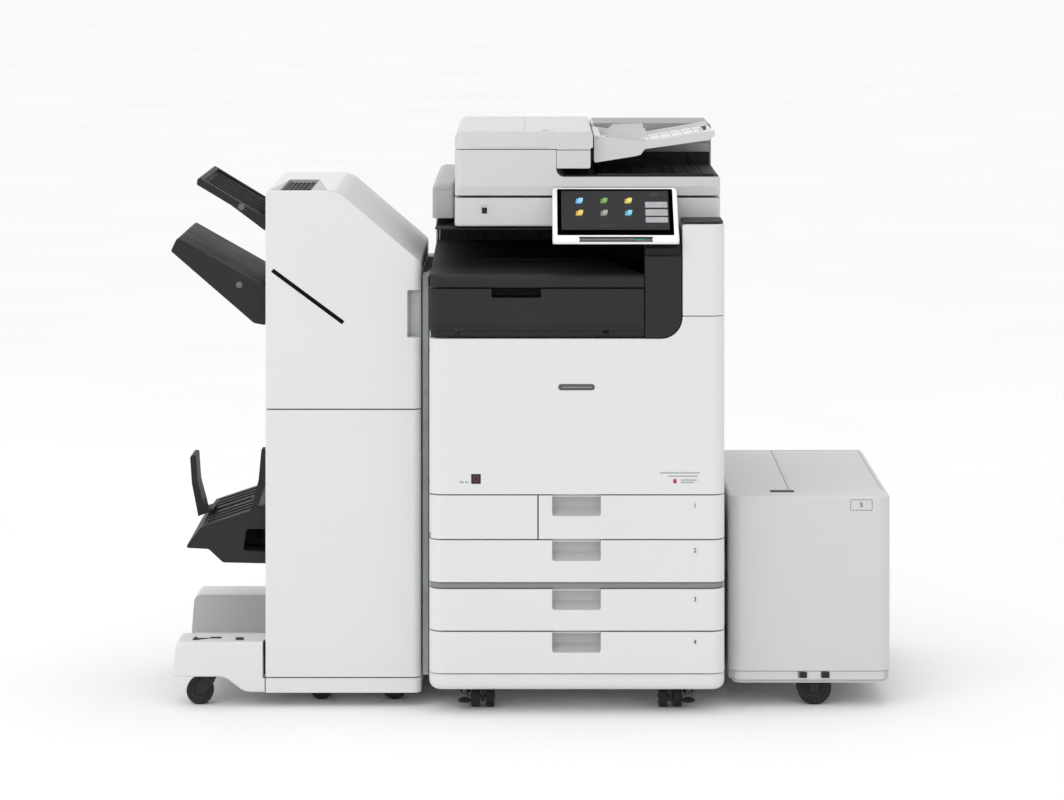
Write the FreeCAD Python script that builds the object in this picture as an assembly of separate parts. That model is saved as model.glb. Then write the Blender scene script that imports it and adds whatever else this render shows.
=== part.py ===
import FreeCAD, Part
import math
import os

from FreeCAD import Vector

# Console photocopier: main unit with four cassettes, reader and document feeder on top,
# booklet finisher on the left, side paper deck on the right. Millimetres, X to the right,
# Y to the rear, Z up. It is laid out about the centre of the main unit's footprint and
# moved at the end so that the origin is the bottom centre of its bounding box.

# ---- driving dimensions of the main unit ----
HALF_W = 308.5                # half width
FRONT, REAR = -361.0, 361.0   # front and rear planes
PANEL_D = 28.0                # depth of the drawer fronts and the front cover
WALL = 3.0                    # moulded cover wall
SEAM = 1.3                    # half of a seam between covers
EDGE_R = 27.5                 # upright front edges, outside
INNER_R = EDGE_R - WALL       # upright front edges, inside

Z_SKIRT = 51.5                # levels, from the floor up
Z_DRAWER4, Z_DRAWER3, Z_STRIP = 86.8, 176.1, 265.0
Z_DRAWER2, Z_DRAWER1, Z_COVER = 276.8, 367.0, 460.5
Z_COVER_TOP = 786.0           # top of the front cover under the toner cover
Z_COVER_RIGHT = 832.0         # top of the front cover under the column
Z_COLUMN_TOP = 1030.0
Z_TONER, Z_TONER_TOP = 788.5, 889.5
Z_LIP, Z_LIP_TOP = 890.8, 918.7

X_WASTE = -81.2               # seam between waste toner cover and cassette 1
PILLAR_X0, PILLAR_X1, PILLAR_R = 141.7, 217.9, 43.0
COLUMN_X0 = PILLAR_X1 + 2.2   # left side of the column
BAY_REAR = 173.0

PARTS = {}


# ---- helpers ----
def part(build):
    """Builds a part at once and files it under its function's name."""
    PARTS[build.__name__] = build()
    return build


def box(x0, x1, y0, y1, z0, z1):
    return Part.makeBox(x1 - x0, y1 - y0, z1 - z0, Vector(x0, y0, z0))


def boxes(*limits):
    return [box(*row) for row in limits]


def cyl(axis, centre, start, end, radius):
    """Cylinder along 'x', 'y' or 'z'; centre holds the two other coordinates."""
    first, second = centre
    base, direction = {
        "x": (Vector(start, first, second), Vector(1, 0, 0)),
        "y": (Vector(first, start, second), Vector(0, 1, 0)),
        "z": (Vector(first, second, start), Vector(0, 0, 1)),
    }[axis]
    return Part.makeCylinder(radius, end - start, base, direction)


def tube(axis, centre, start, end, radius, bore):
    outer = cyl(axis, centre, start, end, radius)
    return outer.cut(cyl(axis, centre, start - 1, end + 1, bore))


def unit(u, v):
    length = math.hypot(u, v)
    return u / length, v / length


def outline(points, place):
    """Closed wire through (u, v) or (u, v, radius) points, corners rounded by their radius."""
    corners = []        # (start of arc, middle of arc or None, end of arc)
    for i, (u, v, *rest) in enumerate(points):
        radius = rest[0] if rest else 0.0
        corners.append(((u, v), None, (u, v)))
        if radius <= 0:
            continue
        before, after = points[i - 1], points[(i + 1) % len(points)]
        back = unit(before[0] - u, before[1] - v)
        ahead = unit(after[0] - u, after[1] - v)
        angle = math.acos(max(-1.0, min(1.0, back[0] * ahead[0] + back[1] * ahead[1])))
        if abs(math.pi - angle) < 1e-4:
            continue
        trim = radius / math.tan(angle / 2)
        middle = unit(back[0] + ahead[0], back[1] + ahead[1])
        reach = radius / math.sin(angle / 2) - radius
        corners[-1] = ((u + back[0] * trim, v + back[1] * trim),
                       (u + middle[0] * reach, v + middle[1] * reach),
                       (u + ahead[0] * trim, v + ahead[1] * trim))
    edges = []
    for i, (start, middle, end) in enumerate(corners):
        following = corners[(i + 1) % len(corners)][0]
        if middle is not None:
            edges.append(Part.Arc(place(*start), place(*middle), place(*end)).toShape())
        if math.hypot(end[0] - following[0], end[1] - following[1]) > 1e-6:
            edges.append(Part.makeLine(place(*end), place(*following)))
    return Part.Wire(edges)


def along_x(points, x0, x1):
    """Extrudes a (y, z) outline from x0 to x1."""
    wire = outline(points, lambda u, v: Vector(x0, u, v))
    return Part.Face(wire).extrude(Vector(x1 - x0, 0, 0))


def along_y(points, y0, y1):
    """Extrudes an (x, z) outline from y0 to y1."""
    wire = outline(points, lambda u, v: Vector(u, y0, v))
    return Part.Face(wire).extrude(Vector(0, y1 - y0, 0))


def along_z(points, z0, z1):
    """Extrudes an (x, y) outline from z0 to z1."""
    wire = outline(points, lambda u, v: Vector(u, v, z0))
    return Part.Face(wire).extrude(Vector(0, 0, z1 - z0))


def rect(u0, u1, v0, v1, radius=0.0, radii=None):
    """Rectangle outline; radii run from (u0, v0) by way of (u1, v0)."""
    a, b, c, d = radii or (radius,) * 4
    return [(u0, v0, a), (u1, v0, b), (u1, v1, c), (u0, v1, d)]


def fillet(shape, radius, wanted):
    """Rounds the edges whose bounding box `wanted` accepts."""
    edges = [edge for edge in shape.Edges if wanted(edge.BoundBox)]
    if not edges:
        return shape
    # The kernel may fail on a fillet or return a bad solid; the shape then stays sharp.
    try:
        rounded = shape.makeFillet(radius, edges)
        if rounded.isValid() and rounded.Volume > 0:
            return rounded
    except Exception:
        pass
    return shape


def fuse(first, *rest):
    return first.multiFuse(list(rest)).removeSplitter()


def cut_each(shape, *tools):
    """Cuts the tools one after another."""
    for tool in tools:
        shape = shape.cut(tool)
    return shape


def solids(*shapes):
    """Separate solids grouped in one part."""
    return Part.makeCompound([solid for shape in shapes for solid in shape.Solids])


def round_rims(wheel, wheel_r, radius):
    return fillet(wheel, radius, lambda span: abs(span.ZMax - span.ZMin - 2 * wheel_r) < 0.1)


# ---- floor skirt and casters ----
CASTER_X, CASTER_Y, CASTER_R = 197.0, 275.0, 22.0
ADJUSTER_X = 235.0


@part
def base_skirt():
    skirt = along_z(rect(-HALF_W, HALF_W, FRONT + 3, REAR - 3, 30), Z_SKIRT, Z_DRAWER4 - 0.6)
    skirt = fillet(skirt, 18, lambda span: span.ZMax < Z_SKIRT + 0.01)
    step = rect(-HALF_W + 4, HALF_W - 4, FRONT + 7, REAR - 7, 26)
    return cut_each(
        skirt, along_z(step, Z_SKIRT + 19, Z_DRAWER4 + 1),
        box(-HALF_W + 40, HALF_W - 40, FRONT + 45, REAR - 45, Z_SKIRT + 5, Z_DRAWER4))


@part
def main_caster_forks():
    """Four stems with axles and plates, and a levelling foot beside each."""
    forks = []
    for side in (-1, 1):
        x = side * CASTER_X
        for y in (-CASTER_Y, CASTER_Y):
            plate = along_z(rect(x - 25, x + 25, y - 25, y + 25, 5), Z_SKIRT - 5, Z_SKIRT)
            forks.append(fuse(
                cyl("z", (x, y), 44.5, Z_SKIRT - 4, 15),
                box(x - 4.5, x + 4.5, y - 13, y + 13, 14, 46.5),
                cyl("x", (y, CASTER_R), x - 26, x + 26, 3.0), plate))
        for y in (-CASTER_Y, CASTER_Y):
            foot = (side * ADJUSTER_X, y)
            forks.append(fuse(cyl("z", foot, 36.0, Z_SKIRT, 6.5), cyl("z", foot, 31.5, 36.0, 11.0)))
    return solids(*forks)


def main_wheels(y):
    """Twin wheels of the two casters at y."""
    wheels = []
    for x in (-CASTER_X, CASTER_X):
        for left in (x - 24.0, x + 6.0):
            wheel = tube("x", (y, CASTER_R), left, left + 18.0, CASTER_R, 3.06)
            wheels.append(round_rims(wheel, CASTER_R, 2.5))
    return solids(*wheels)


PARTS["main_wheels_front"] = main_wheels(-CASTER_Y)
PARTS["main_wheels_rear"] = main_wheels(CASTER_Y)

# ---- cassettes and the waste toner cover beside cassette 1 ----
PLAN = rect(-HALF_W, HALF_W, FRONT, FRONT + PANEL_D, radii=(EDGE_R, EDGE_R, 0, 0))
PLAN_IN = rect(-HALF_W + WALL, HALF_W - WALL, FRONT + WALL, FRONT + PANEL_D + 5,
               radii=(INNER_R, INNER_R, 0, 0))
SCOOP_X0, SCOOP_X1, SCOOP_H = -51.6, 49.6, 43.0     # handle scoop
TRAY_RIGHT = 284
# number, bottom, top, left side of the tray, left limit of the front
CASSETTES = (
    (4, Z_DRAWER4, Z_DRAWER3, -284, -HALF_W - 1),
    (3, Z_DRAWER3, Z_STRIP, -284, -HALF_W - 1),
    (2, Z_DRAWER2, Z_DRAWER1, -284, -HALF_W - 1),
    (1, Z_DRAWER1, Z_COVER, -70, X_WASTE + SEAM),
)
RAIL_Z = 30.0 + 9.0     # tray rails above the bottom of a cassette


def soften_face(shape):
    """Rounds the level edges of a front's outer face."""
    return fillet(shape, 1.6, lambda span: span.YMin < FRONT + 0.1
                  and span.YMax < FRONT + PANEL_D - 0.5 and span.ZMax - span.ZMin < 0.01)


def drawer_front(z0, z1, x0):
    """Moulded front, open at the back, with the grip scoop let into its top edge."""
    z0, z1 = z0 + SEAM, z1 - SEAM
    body = along_z(PLAN, z0, z1)
    hollow = along_z(PLAN_IN, z0 + WALL, z1 - WALL)
    if x0 > -HALF_W:
        limits = (HALF_W + 1, FRONT - 1, FRONT + 60, z0 - 1, z1 + 1)
        body = body.common(box(x0, *limits))
        hollow = hollow.common(box(x0 + WALL, *limits))
    body = soften_face(body).cut(hollow)
    low = z1 - SCOOP_H
    cup = box(SCOOP_X0 - 3, SCOOP_X1 + 3, FRONT + 1, FRONT + PANEL_D, low - 3, z1 - 0.01)
    scoop = along_y([(SCOOP_X0, low, 5), (SCOOP_X1, low, 5), (SCOOP_X1, z1 + 5),
                     (SCOOP_X0, z1 + 5)], FRONT - 1, FRONT + 24)
    slope = [(FRONT + 24.5, low - 1), (FRONT + 24.5, low + 16), (FRONT + 6, low - 1)]
    scoop = scoop.cut(along_x(slope, SCOOP_X0 - 1, SCOOP_X1 + 1))
    return fuse(body, cup).cut(scoop)


def cassette(z0, z1, left, front_x0):
    """Drawer front with its open tray; the lifting plate is a second solid inside."""
    right = TRAY_RIGHT
    low, high = z0 + 9.0, z1 - 11.0
    y0, y1 = FRONT + PANEL_D - 2.0, 258.0
    rail_z = (z0 + RAIL_Z, z0 + RAIL_Z + 6)
    tray = box(left, right, y0, y1, low, high).cut(
        box(left + 2.5, right - 2.5, y0 + 3.0, y1 - 2.5, low + 2.5, high + 1))
    front = drawer_front(z0, z1, front_x0)
    body = fuse(front, tray, box(left, right, y0 - 1.0, y0 + 2.0, low, high),
                box(left - 6, left, y0 + 14, y1, *rail_z),
                box(right, right + 6, y0 + 14, y1, *rail_z))
    middle = (left + right) / 2
    plate = box(left + 60, right - 60, -60.0, 240.0, low + 3.2, low + 4.7)
    return solids(body, plate.cut(box(middle - 40, middle + 40, 60, 241, low + 3, low + 5)))


for number, *sizes in CASSETTES:
    PARTS[f"cassette_{number}"] = cassette(*sizes)


@part
def waste_cover():
    """Cover that tips about an axis at its lower edge; its top is curved to clear."""
    z0, z1 = Z_DRAWER1 + SEAM, Z_COVER - SEAM
    pivot = (FRONT + 4.5, z0 + 4.5)
    right = X_WASTE - SEAM
    cover = along_z(PLAN, z0, z1).common(
        box(-HALF_W - 1, right, FRONT - 1, FRONT + 60, z0 - 1, z1 + 1))
    hollow = along_z(PLAN_IN, z0 + WALL, z1 - WALL).common(
        box(-HALF_W, right - WALL, FRONT - 1, FRONT + 60, z0, z1))
    cover = soften_face(cover).cut(hollow)
    cover = cover.common(cyl("x", pivot, -HALF_W - 5, X_WASTE + 5, z1 - pivot[1] + 0.35))
    cover = cover.cut(box(-HALF_W - 1, HALF_W, FRONT + 13.5, FRONT + 60, z0 - 1, z0 + 12))
    axle = cyl("x", pivot, -HALF_W + 24, X_WASTE - 12, 4.2)
    return fuse(cover, axle.common(box(-HALF_W, HALF_W, FRONT + 0.4, FRONT + 20, z0, z1)))


# ---- front cover, toner cover, column cover ----
FRONT_PIVOT = (-301.0, -336.0)      # x, y of the front cover's axis
FRONT_HINGES = (486.0, 760.0)       # heights of its hinges
TONER_PIVOT = (-352.5, 794.0)       # y, z of the toner cover's axis
TONER_HINGES = (-250.0, 60.0)       # x of its hinges


@part
def front_cover():
    right, top = HALF_W, Z_COVER_TOP - 0.6
    face = [(-right, Z_COVER + SEAM), (right, Z_COVER + SEAM), (right, Z_COVER_RIGHT),
            (COLUMN_X0, Z_COVER_RIGHT, 2), (COLUMN_X0, top, PILLAR_R + 2.0), (-right, top)]
    low, high = Z_COVER + SEAM + WALL, Z_COVER_RIGHT - WALL
    face_in = [(-right - 1, low), (right + 1, low), (right + 1, high), (COLUMN_X0 + WALL, high),
               (COLUMN_X0 + WALL, top - WALL, PILLAR_R + 2.0), (-right - 1, top - WALL)]

    def outer_rim(span):
        """Edges of the outer face, without the uprights at its far left and right."""
        upright = (span.ZMax - span.ZMin > 0.01 and span.XMax - span.XMin < 0.01
                   and span.YMax - span.YMin < 0.01 and abs(span.XMin) > 240)
        return span.YMin < FRONT + 0.1 and span.YMax < FRONT + PANEL_D - 0.5 and not upright

    cover = along_z(PLAN, Z_COVER, 900).common(along_y(face, FRONT - 5, FRONT + PANEL_D))
    cover = fillet(cover, 1.6, outer_rim)
    hollow = along_z(PLAN_IN, Z_COVER, 900)
    cover = cover.cut(hollow.common(along_y(face_in, FRONT - 5, FRONT + PANEL_D + 6)))
    for z in FRONT_HINGES:
        knuckles = []
        for z0, z1 in ((z - 14, z - 4), (z + 4, z + 14)):
            knuckles += [cyl("z", FRONT_PIVOT, z0, z1, 4.4), box(-306, -299, -345, -336, z0, z1)]
        cover = cut_each(fuse(cover, *knuckles), cyl("z", FRONT_PIVOT, z - 20, z + 20, 2.56),
                         box(-320, -294.5, -341.5, -325, z - 3.9, z + 3.9))
    # stiffening ribs and latch on the inner side
    ribs = [box(x, x + 2, FRONT + 2, FRONT + 14, Z_COVER + 8, Z_COVER_TOP - 8)
            for x in (-180, -60, 60, 180)]
    ribs += [box(-270, 270, FRONT + 2, FRONT + 11, z, z + 2) for z in (560, 670)]
    return fuse(cover, *ribs, box(276, 292, FRONT + 2, FRONT + PANEL_D - 2, 600, 640))


@part
def toner_cover():
    # (y, z, radius)
    profile = [(FRONT, Z_TONER_TOP, 2), (FRONT, 813.5, 3), (-354.6, Z_TONER, 1.5),
               (-348.6, Z_TONER, 1.5), (-345.6, 800), (-345.6, Z_TONER_TOP, 1)]
    plan = rect(-HALF_W, PILLAR_X0 - 1.5, FRONT, FRONT + PANEL_D, radii=(EDGE_R, 2, 0, 0))
    cover = along_x(profile, -HALF_W - 1, PILLAR_X0).common(along_z(plan, 780, 900))
    left_end = along_z(plan, Z_TONER + 12, Z_TONER_TOP).common(
        box(-HALF_W, -HALF_W + 12, FRONT + 10, FRONT + 26, 800, Z_TONER_TOP - 0.5))
    cover = fuse(cover, left_end)
    cover = cover.common(cyl("x", TONER_PIVOT, -HALF_W - 5, PILLAR_X1, 96.4))
    grip = [(-178, 871, 4), (-75, 871, 4), (-75, 900), (-178, 900)]
    cover = cut_each(
        cover, box(-270, PILLAR_X0 - 12, FRONT + 3.2, FRONT + 16, 818, Z_TONER_TOP - 24),
        along_y(grip, FRONT - 1, FRONT + 10.5))
    cover = fuse(cover, box(-182, -71, FRONT + 10, FRONT + 15.4, 866, Z_TONER_TOP - 3))
    for x in TONER_HINGES:
        cover = cover.cut(box(x - 6.0, x + 6.0, -364, -340, 780, 803.5))
        cover = fuse(cover, cyl("x", TONER_PIVOT, x - 20, x - 6.0, 4.0),
                     cyl("x", TONER_PIVOT, x + 6.0, x + 20, 4.0))
        cover = cover.cut(cyl("x", TONER_PIVOT, x - 21, x + 21, 2.06))
    return cover


@part
def column_cover():
    left, top = COLUMN_X0, Z_COLUMN_TOP - 6
    column = along_z(rect(left, HALF_W, FRONT, -262, radii=(3, EDGE_R, 0, 0)),
                     Z_COVER_RIGHT + 1.8, top)
    column = column.common(along_y(rect(left, HALF_W, 830, top, radii=(0, 0, 3, 8)), FRONT - 1, 0))
    plan_in = rect(left + WALL, HALF_W - WALL, FRONT + WALL, -250, radii=(1, INNER_R, 0, 0))
    column = column.cut(along_z(plan_in, Z_COVER_RIGHT, top - WALL))
    # pocket towards the right door
    column = fuse(column, box(296, 305.6, -306, -262, 846, 905))
    return column.cut(box(299.0, 312, -300, -256, 849, 902))


# ---- steel frame and inner parts ----
DOOR_PIVOT = (303.0, 243.5)     # x, y of the right door's axis
SWITCH = (-322.0, 740.0)        # y, z of the power switch's axis


@part
def main_chassis():
    # x0, x1, y0, y1, z0, z1
    plates = boxes(
        (-299.5, 296, -322, 338, 87.6, 90.0),           # base plate
        (-302.0, -299.5, -322, 338, 87.6, 872),         # left side plate
        (-302.0, -299.5, 178, 338, 872, 1006),
        (296.0, 298.5, -322, 338, 87.6, 458),           # right side plate
        (296.0, 298.5, 256, 338, 458, 1006),
        (-302.0, 298.5, 338, 340.5, 87.6, 1006),        # rear plate
        (-302.0, 297.0, -322, 338, 461.5, 464.0),       # shelf over the cassettes
        (-302.0, 298.5, -322, 338, 268.6, 271.0),       # shelf between the cassette units
        (-302.0, 219.0, -318, 176, 869.5, 872.0),       # shelf under the output tray
        (-299.5, 296, -322, -319.5, 464, 469),          # front sill
        (262.0, 296.0, -318, -264, 464, 1004),          # right front post
        (-298.0, -262.0, 184, 230, 464, 1008.0),        # rear posts carrying the reader
        (230.0, 296.0, 256, 300, 464, 1008.0),
        (224.0, 296.0, -318, -264, 1004, 1008.0),       # head of the right front post
    )
    for number, bottom, _, left, _ in CASSETTES:
        rail = (-318, 262, bottom + RAIL_Z - 3.6, bottom + RAIL_Z - 1.6)
        plates.append(box(left - 16, left - 1.5, *rail))
        if number == 1:     # wall and shelf around the waste toner container
            plates += boxes((left - 18.5, left - 16, -318, 262, 371.0, 461.5),
                            (-302.0, left - 16, -318, 262, 368.6, 371.0))
        plates.append(box(TRAY_RIGHT + 1.5, 297.0, *rail))
    frame = cut_each(
        fuse(*plates), box(-303, -299, -150, 150, 150, 240), box(-303, -299, -200, 120, 520, 800),
        *[cyl("y", (x, 640), 330, 345, radius) for x, radius in ((0, 60), (-160, 35), (170, 35))])
    strip = rect(-HALF_W + 3.8, HALF_W - 3.8, FRONT + 5, -318,
                 radii=(EDGE_R - 3.5, EDGE_R - 3.5, 0, 0))
    frame = fuse(frame, along_z(strip, Z_STRIP + 0.9, Z_DRAWER2 - 0.9))
    for z in FRONT_HINGES:
        arm = fuse(box(-304.6, -297.4, -336, -318, z - 3.0, z + 3.0),
                   cyl("z", FRONT_PIVOT, z - 3.0, z + 3.0, 3.6),
                   cyl("z", FRONT_PIVOT, z - 13, z + 13, 2.5),
                   box(-302.0, -298.0, -323, -316, z - 12, z + 12))
        frame = fuse(frame, arm)
    # brackets and pins of the right door
    brackets = boxes((296.0, 304.6, 238, 250.5, 458.0, 461.8),
                     (295.0, 304.6, 238, 250.5, 1005.4, 1008.0),
                     (293.0, 297.0, 238, 262, 1002.0, 1008.0))
    return fuse(frame, *brackets, cyl("z", DOOR_PIVOT, 461.2, 476, 2.5),
                cyl("z", DOOR_PIVOT, 992, 1006.0, 2.5))


@part
def inner_cover():
    cover = box(-296.5, 294.0, -327.0, -323.0, 470.5, 782.0)
    cover = fillet(cover, 3.0, lambda span: span.YMax - span.YMin > 3.9)
    cover = fuse(cover, box(-296.5, 294.0, -329.5, -323, 776, 782))
    for x in (-225, -125, -25, 75):     # round rims, each with a level bar
        cover = fuse(cover, cyl("y", (x, 545), -331.5, -325, 33))
        cover = cover.cut(cyl("y", (x, 545), -332, -328.5, 28))
        cover = fuse(cover, box(x - 22, x + 22, -331.0, -327, 541, 549))
    cover = cover.cut(along_y(rect(-262, 118, 604, 736, 8), -328, -325.4))
    cover = fuse(cover, along_y(rect(150, 262, 560, 706, 10), -330.5, -325))
    # opening, cheeks and axle of the power switch
    cover = cover.cut(along_y(rect(236.4, 263.6, 730, 750, 3), -340, -320))
    cover = fuse(cover, box(233.0, 236.3, -325, -319.6, 735, 745),
                 box(263.7, 267.0, -325, -319.6, 735, 745), cyl("x", SWITCH, 234, 266, 1.5))
    for x in TONER_HINGES:      # arms that carry the toner cover's pivots
        arm = fuse(box(x - 5.3, x + 5.3, -331.5, -323, 770.0, 792.0),
                   box(x - 5.3, x + 5.3, -351.0, -323, 786.8, 791.5),
                   cyl("x", TONER_PIVOT, x - 5.3, x + 5.3, 3.6),
                   cyl("x", TONER_PIVOT, x - 19, x + 19, 2.0))
        cover = fuse(cover, arm)
    return cover


@part
def power_switch():
    profile = [(-328.4, 732.4, 1), (-330.6, 740), (-328.4, 747.6, 1), (-318, 745.0, 1),
               (-318, 735.0, 1)]
    return along_x(profile, 238.4, 261.6).cut(cyl("x", SWITCH, 237, 263, 1.56))


@part
def toner_containers():
    """Four toner containers on top, the waste toner container behind its own cover."""
    containers = []
    for x in (-248, -150, -52, 46):
        body = along_y(rect(x - 43, x + 43, 792, 864, 20), -338, 120)
        cap = along_y(rect(x - 30, x + 30, 800, 856, 14), -343, -338)
        containers.append(fuse(body, cap).cut(box(x - 12, x + 12, -344, -339.5, 822, 834)))
    waste = along_y(rect(-292, -96, 376, 450, 8), -322, -70)
    waste = waste.cut(along_y(rect(-230, -150, 396, 430, 5), -323, -314))
    return solids(*containers, waste)


@part
def imaging_unit():
    """Transfer belt with its rollers, four drum units and the scanner below."""
    belt = along_y(rect(-250, 180, 640, 700, 29.9), -290, 230)
    belt = belt.cut(along_y(rect(-248.5, 178.5, 641.5, 698.5, 28.4), -291, 231))
    rollers = [cyl("y", (x, 670), -300, 240, 27.5) for x in (-219.6, 149.6)]
    rollers += [cyl("y", (x, 656.2), -290, 230, 14) for x in (-150, -60, 30)]
    drums = [fuse(along_y(rect(x - 40, x + 40, 560, 604, 10), -300, 240),
                  cyl("y", (x, 612), -296, 236, 19)) for x in (-190, -95, 0, 95)]
    scanner = along_y(rect(-260, 190, 478, 540, 6), -260, 220)
    return solids(belt, *rollers, *drums, scanner)


@part
def fixing_unit():
    housing = along_y(rect(206, 290, 716, 838, 10), -250, 230)
    housing = housing.cut(along_y(rect(216, 292, 726, 828, 8), -245, 225))
    return solids(housing, cyl("y", (243, 777), -244, 224, 18),
                  cyl("y", (280.0, 777), -244, 224, 15))


# ---- output bay ----
@part
def bay_liner():
    """Pillar, column cap and bay walls as three solids."""
    x0, x1, low = PILLAR_X0, PILLAR_X1, Z_COVER_TOP + 1.4
    pillar = along_y([(x0, low), (x1, low, PILLAR_R), (x1, 958), (x0, 958)], FRONT, -318)
    pillar = fillet(pillar, 2.0, lambda span: span.YMax < FRONT + 0.1 and span.ZMax < 959)
    hollow = [(x0 + 3, low + 3), (x1 - 3, low + 3, PILLAR_R - 3), (x1 - 3, 955), (x0 + 3, 955)]
    pillar = pillar.cut(along_y(hollow, FRONT + 3, -317))
    upper = box(x0 + 1.5, x1, FRONT + 10, -318, 957, 983)
    upper = upper.cut(along_x([(FRONT + 9, 984), (FRONT + 9, 972), (FRONT + 22, 984)], x0, x1 + 1))

    cap = along_z(rect(COLUMN_X0 + 1.0, HALF_W - 2.5, FRONT + 3, -254,
                       radii=(6, EDGE_R - 3.5, 0, 0)), Z_COLUMN_TOP - 5.4, Z_COLUMN_TOP)
    cap = fillet(cap, 2.0, lambda span: span.ZMin > Z_COLUMN_TOP - 0.1)

    bay = fuse(*boxes(
        (-299, 219, BAY_REAR, BAY_REAR + 3, 884, 1006),     # rear wall
        (216, 219, -318, BAY_REAR, 884, 1006),              # exit wall
        (x0, 219, -318, -314, 872.5, 1006),                 # wall behind the pillar
        (-299, 219, -246, BAY_REAR, 1003, 1006),            # ceiling
    ))
    bay = bay.cut(box(214, 221, -232, 150, 918, 952))       # paper exit slot
    bay = fillet(bay, 10, lambda span: 215.9 < span.XMin and span.XMax < 216.1
                 and span.YMin > BAY_REAR - 0.1 and span.YMax < BAY_REAR + 0.1)
    return solids(fuse(pillar, upper), cap, bay)


@part
def output_tray():
    """Level left part and a ramp falling to the right, parted by a slanting line."""
    rear, right = BAY_REAR - 1, PILLAR_X0 - 1.5
    # (y, z, radius)
    profile = [(-357.5, Z_LIP, 4), (-357.5, Z_LIP_TOP, 13), (-250, Z_LIP_TOP + 1.5, 60),
               (rear, 942), (rear, 873.2), (-316, 873.2), (-316, 880, 3), (-330, 890.8)]
    left_part = along_x(profile, -HALF_W + 1.5, right).cut(along_z(
        [(133, -330), (-17, BAY_REAR), (-17, BAY_REAR + 5), (260, BAY_REAR + 5), (260, -330)],
        860, 960))
    ramp = along_y([(-20, 873.2), (214, 873.2), (214, 879), (-20, 925)], -330, rear)
    ramp = ramp.common(along_z([(132.95, -330), (-17.05, rear), (214, rear), (214, -313.2),
                                (right, -313.2), (right, -330)], 860, 960))
    tray = fuse(left_part, ramp).common(along_z(
        rect(-HALF_W + 1.5, 230, -357.5, rear, radii=(22, 0, 0, 0)), 860, 960))
    return cut_each(tray, box(-290, 100, -300, 160, 860, 884),
                    box(-310, -304.6, -340, 180, 860, 889.5))


@part
def exit_rollers():
    axis = (231, 935)
    return fuse(cyl("y", axis, -246, 164, 4.0),
                *[cyl("y", axis, y, y + 26, 10.5) for y in (-200, -90, 20, 110)])


# ---- side, rear and tower covers, right door and bypass tray ----
Z_COVERS = 88.3     # bottom of the side and rear covers
SCREWS = [(x, z) for x in (-285, 285) for z in (112, 250, 300, 440, 490, 690, 985)]
BYPASS_PIVOT = (305.6, 512.0)


@part
def left_cover():
    x0, x1 = -HALF_W, -HALF_W + 3.2
    cover = fuse(box(x0, x1, -326, 341, Z_COVERS, 887), box(x0, x1, 178, 341, 887, 1018))
    return cut_each(cover, *[box(-HALF_W - 1, -HALF_W + 4, y, y + 4, 560, 640)
                             for y in range(200, 308, 9)])


@part
def right_cover():
    cover = fuse(box(HALF_W - 3.2, HALF_W, -326, 341, Z_COVERS, 461.0),
                 box(HALF_W - 6.5, HALF_W, 251.5, 341, 461.0, 1008))
    cover = cover.cut(box(HALF_W - 4, HALF_W + 1, -180, 120, 150, 300))
    cover = fuse(cover, box(HALF_W - 5.2, HALF_W - 2.2, -183, 123, 147, 303))
    return cut_each(cover, *[box(HALF_W - 8, HALF_W + 1, 262, 330, z, z + 4)
                             for z in range(560, 668, 9)])


@part
def rear_cover():
    cover = along_z(rect(-HALF_W, HALF_W, 341.6, REAR, radii=(0, 0, 12, 12)), Z_COVERS, 1018)
    plan_in = rect(-HALF_W + 3, HALF_W - 3, 340, REAR - 3, radii=(0, 0, 9, 9))
    cover = cover.cut(along_z(plan_in, Z_COVERS + 3, 1015))
    vents = [box(x, x + 140, REAR - 5, REAR + 1, z, z + 5)
             for z in range(700, 840, 10) for x in (-230, 90)]
    grooves = [box(-HALF_W + 20, HALF_W - 20, REAR - 0.8, REAR + 1, z0, z1)
               for z0, z1 in ((459, 462), (270, 272))]
    cover = cut_each(cover, *vents, *grooves)
    # power socket
    cover = fuse(cover, box(-265, -211, REAR - 18, REAR - 1, 115, 155))
    cover = cover.cut(box(-262, -214, REAR - 15, REAR + 1, 118, 152))
    cover = fuse(cover, box(-252, -224, REAR - 16, REAR - 3, 124, 146))
    return cut_each(cover, *[cyl("y", place, REAR - 8, REAR + 1, 2.05) for place in SCREWS])


@part
def cover_screws():
    screws = []
    for x, z in SCREWS:
        slot = box(x - 3, x + 3, REAR + 1.0, REAR + 3, z - 0.5, z + 0.5)
        head = cyl("y", (x, z), REAR, REAR + 1.8, 4.2).cut(slot)
        screws.append(fuse(cyl("y", (x, z), REAR - 9, REAR, 1.9), head))
    return solids(*screws)


@part
def tower_cover():
    """Tall housing left of the reader and the low housing behind the reader."""
    outer = rect(-307, -260.5, 1019.5, 1097.5, radii=(0, 0, 3, 17))
    inner = rect(-304, -263.5, 1016, 1094.5, radii=(0, 0, 1, 14))
    tower = along_y(outer, -161, REAR - 2)
    tower = fillet(tower, 8, lambda span: span.YMax < -160.9 and span.ZMin > 1030)
    groove = box(-310, -255, -163, REAR, 1080, 1081.6).cut(
        box(-306.2, -261.3, -160.2, REAR - 3, 1079, 1083))
    tower = cut_each(tower, along_y(inner, -158, REAR - 5), groove)
    back = box(-262, 303, 316, REAR - 2, 1019.5, 1064).cut(
        box(-263, 300, 319, REAR - 5, 1016, 1061))
    return fuse(tower, back).cut(box(-263.4, -259, 319, REAR - 5, 1022, 1061))


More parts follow.
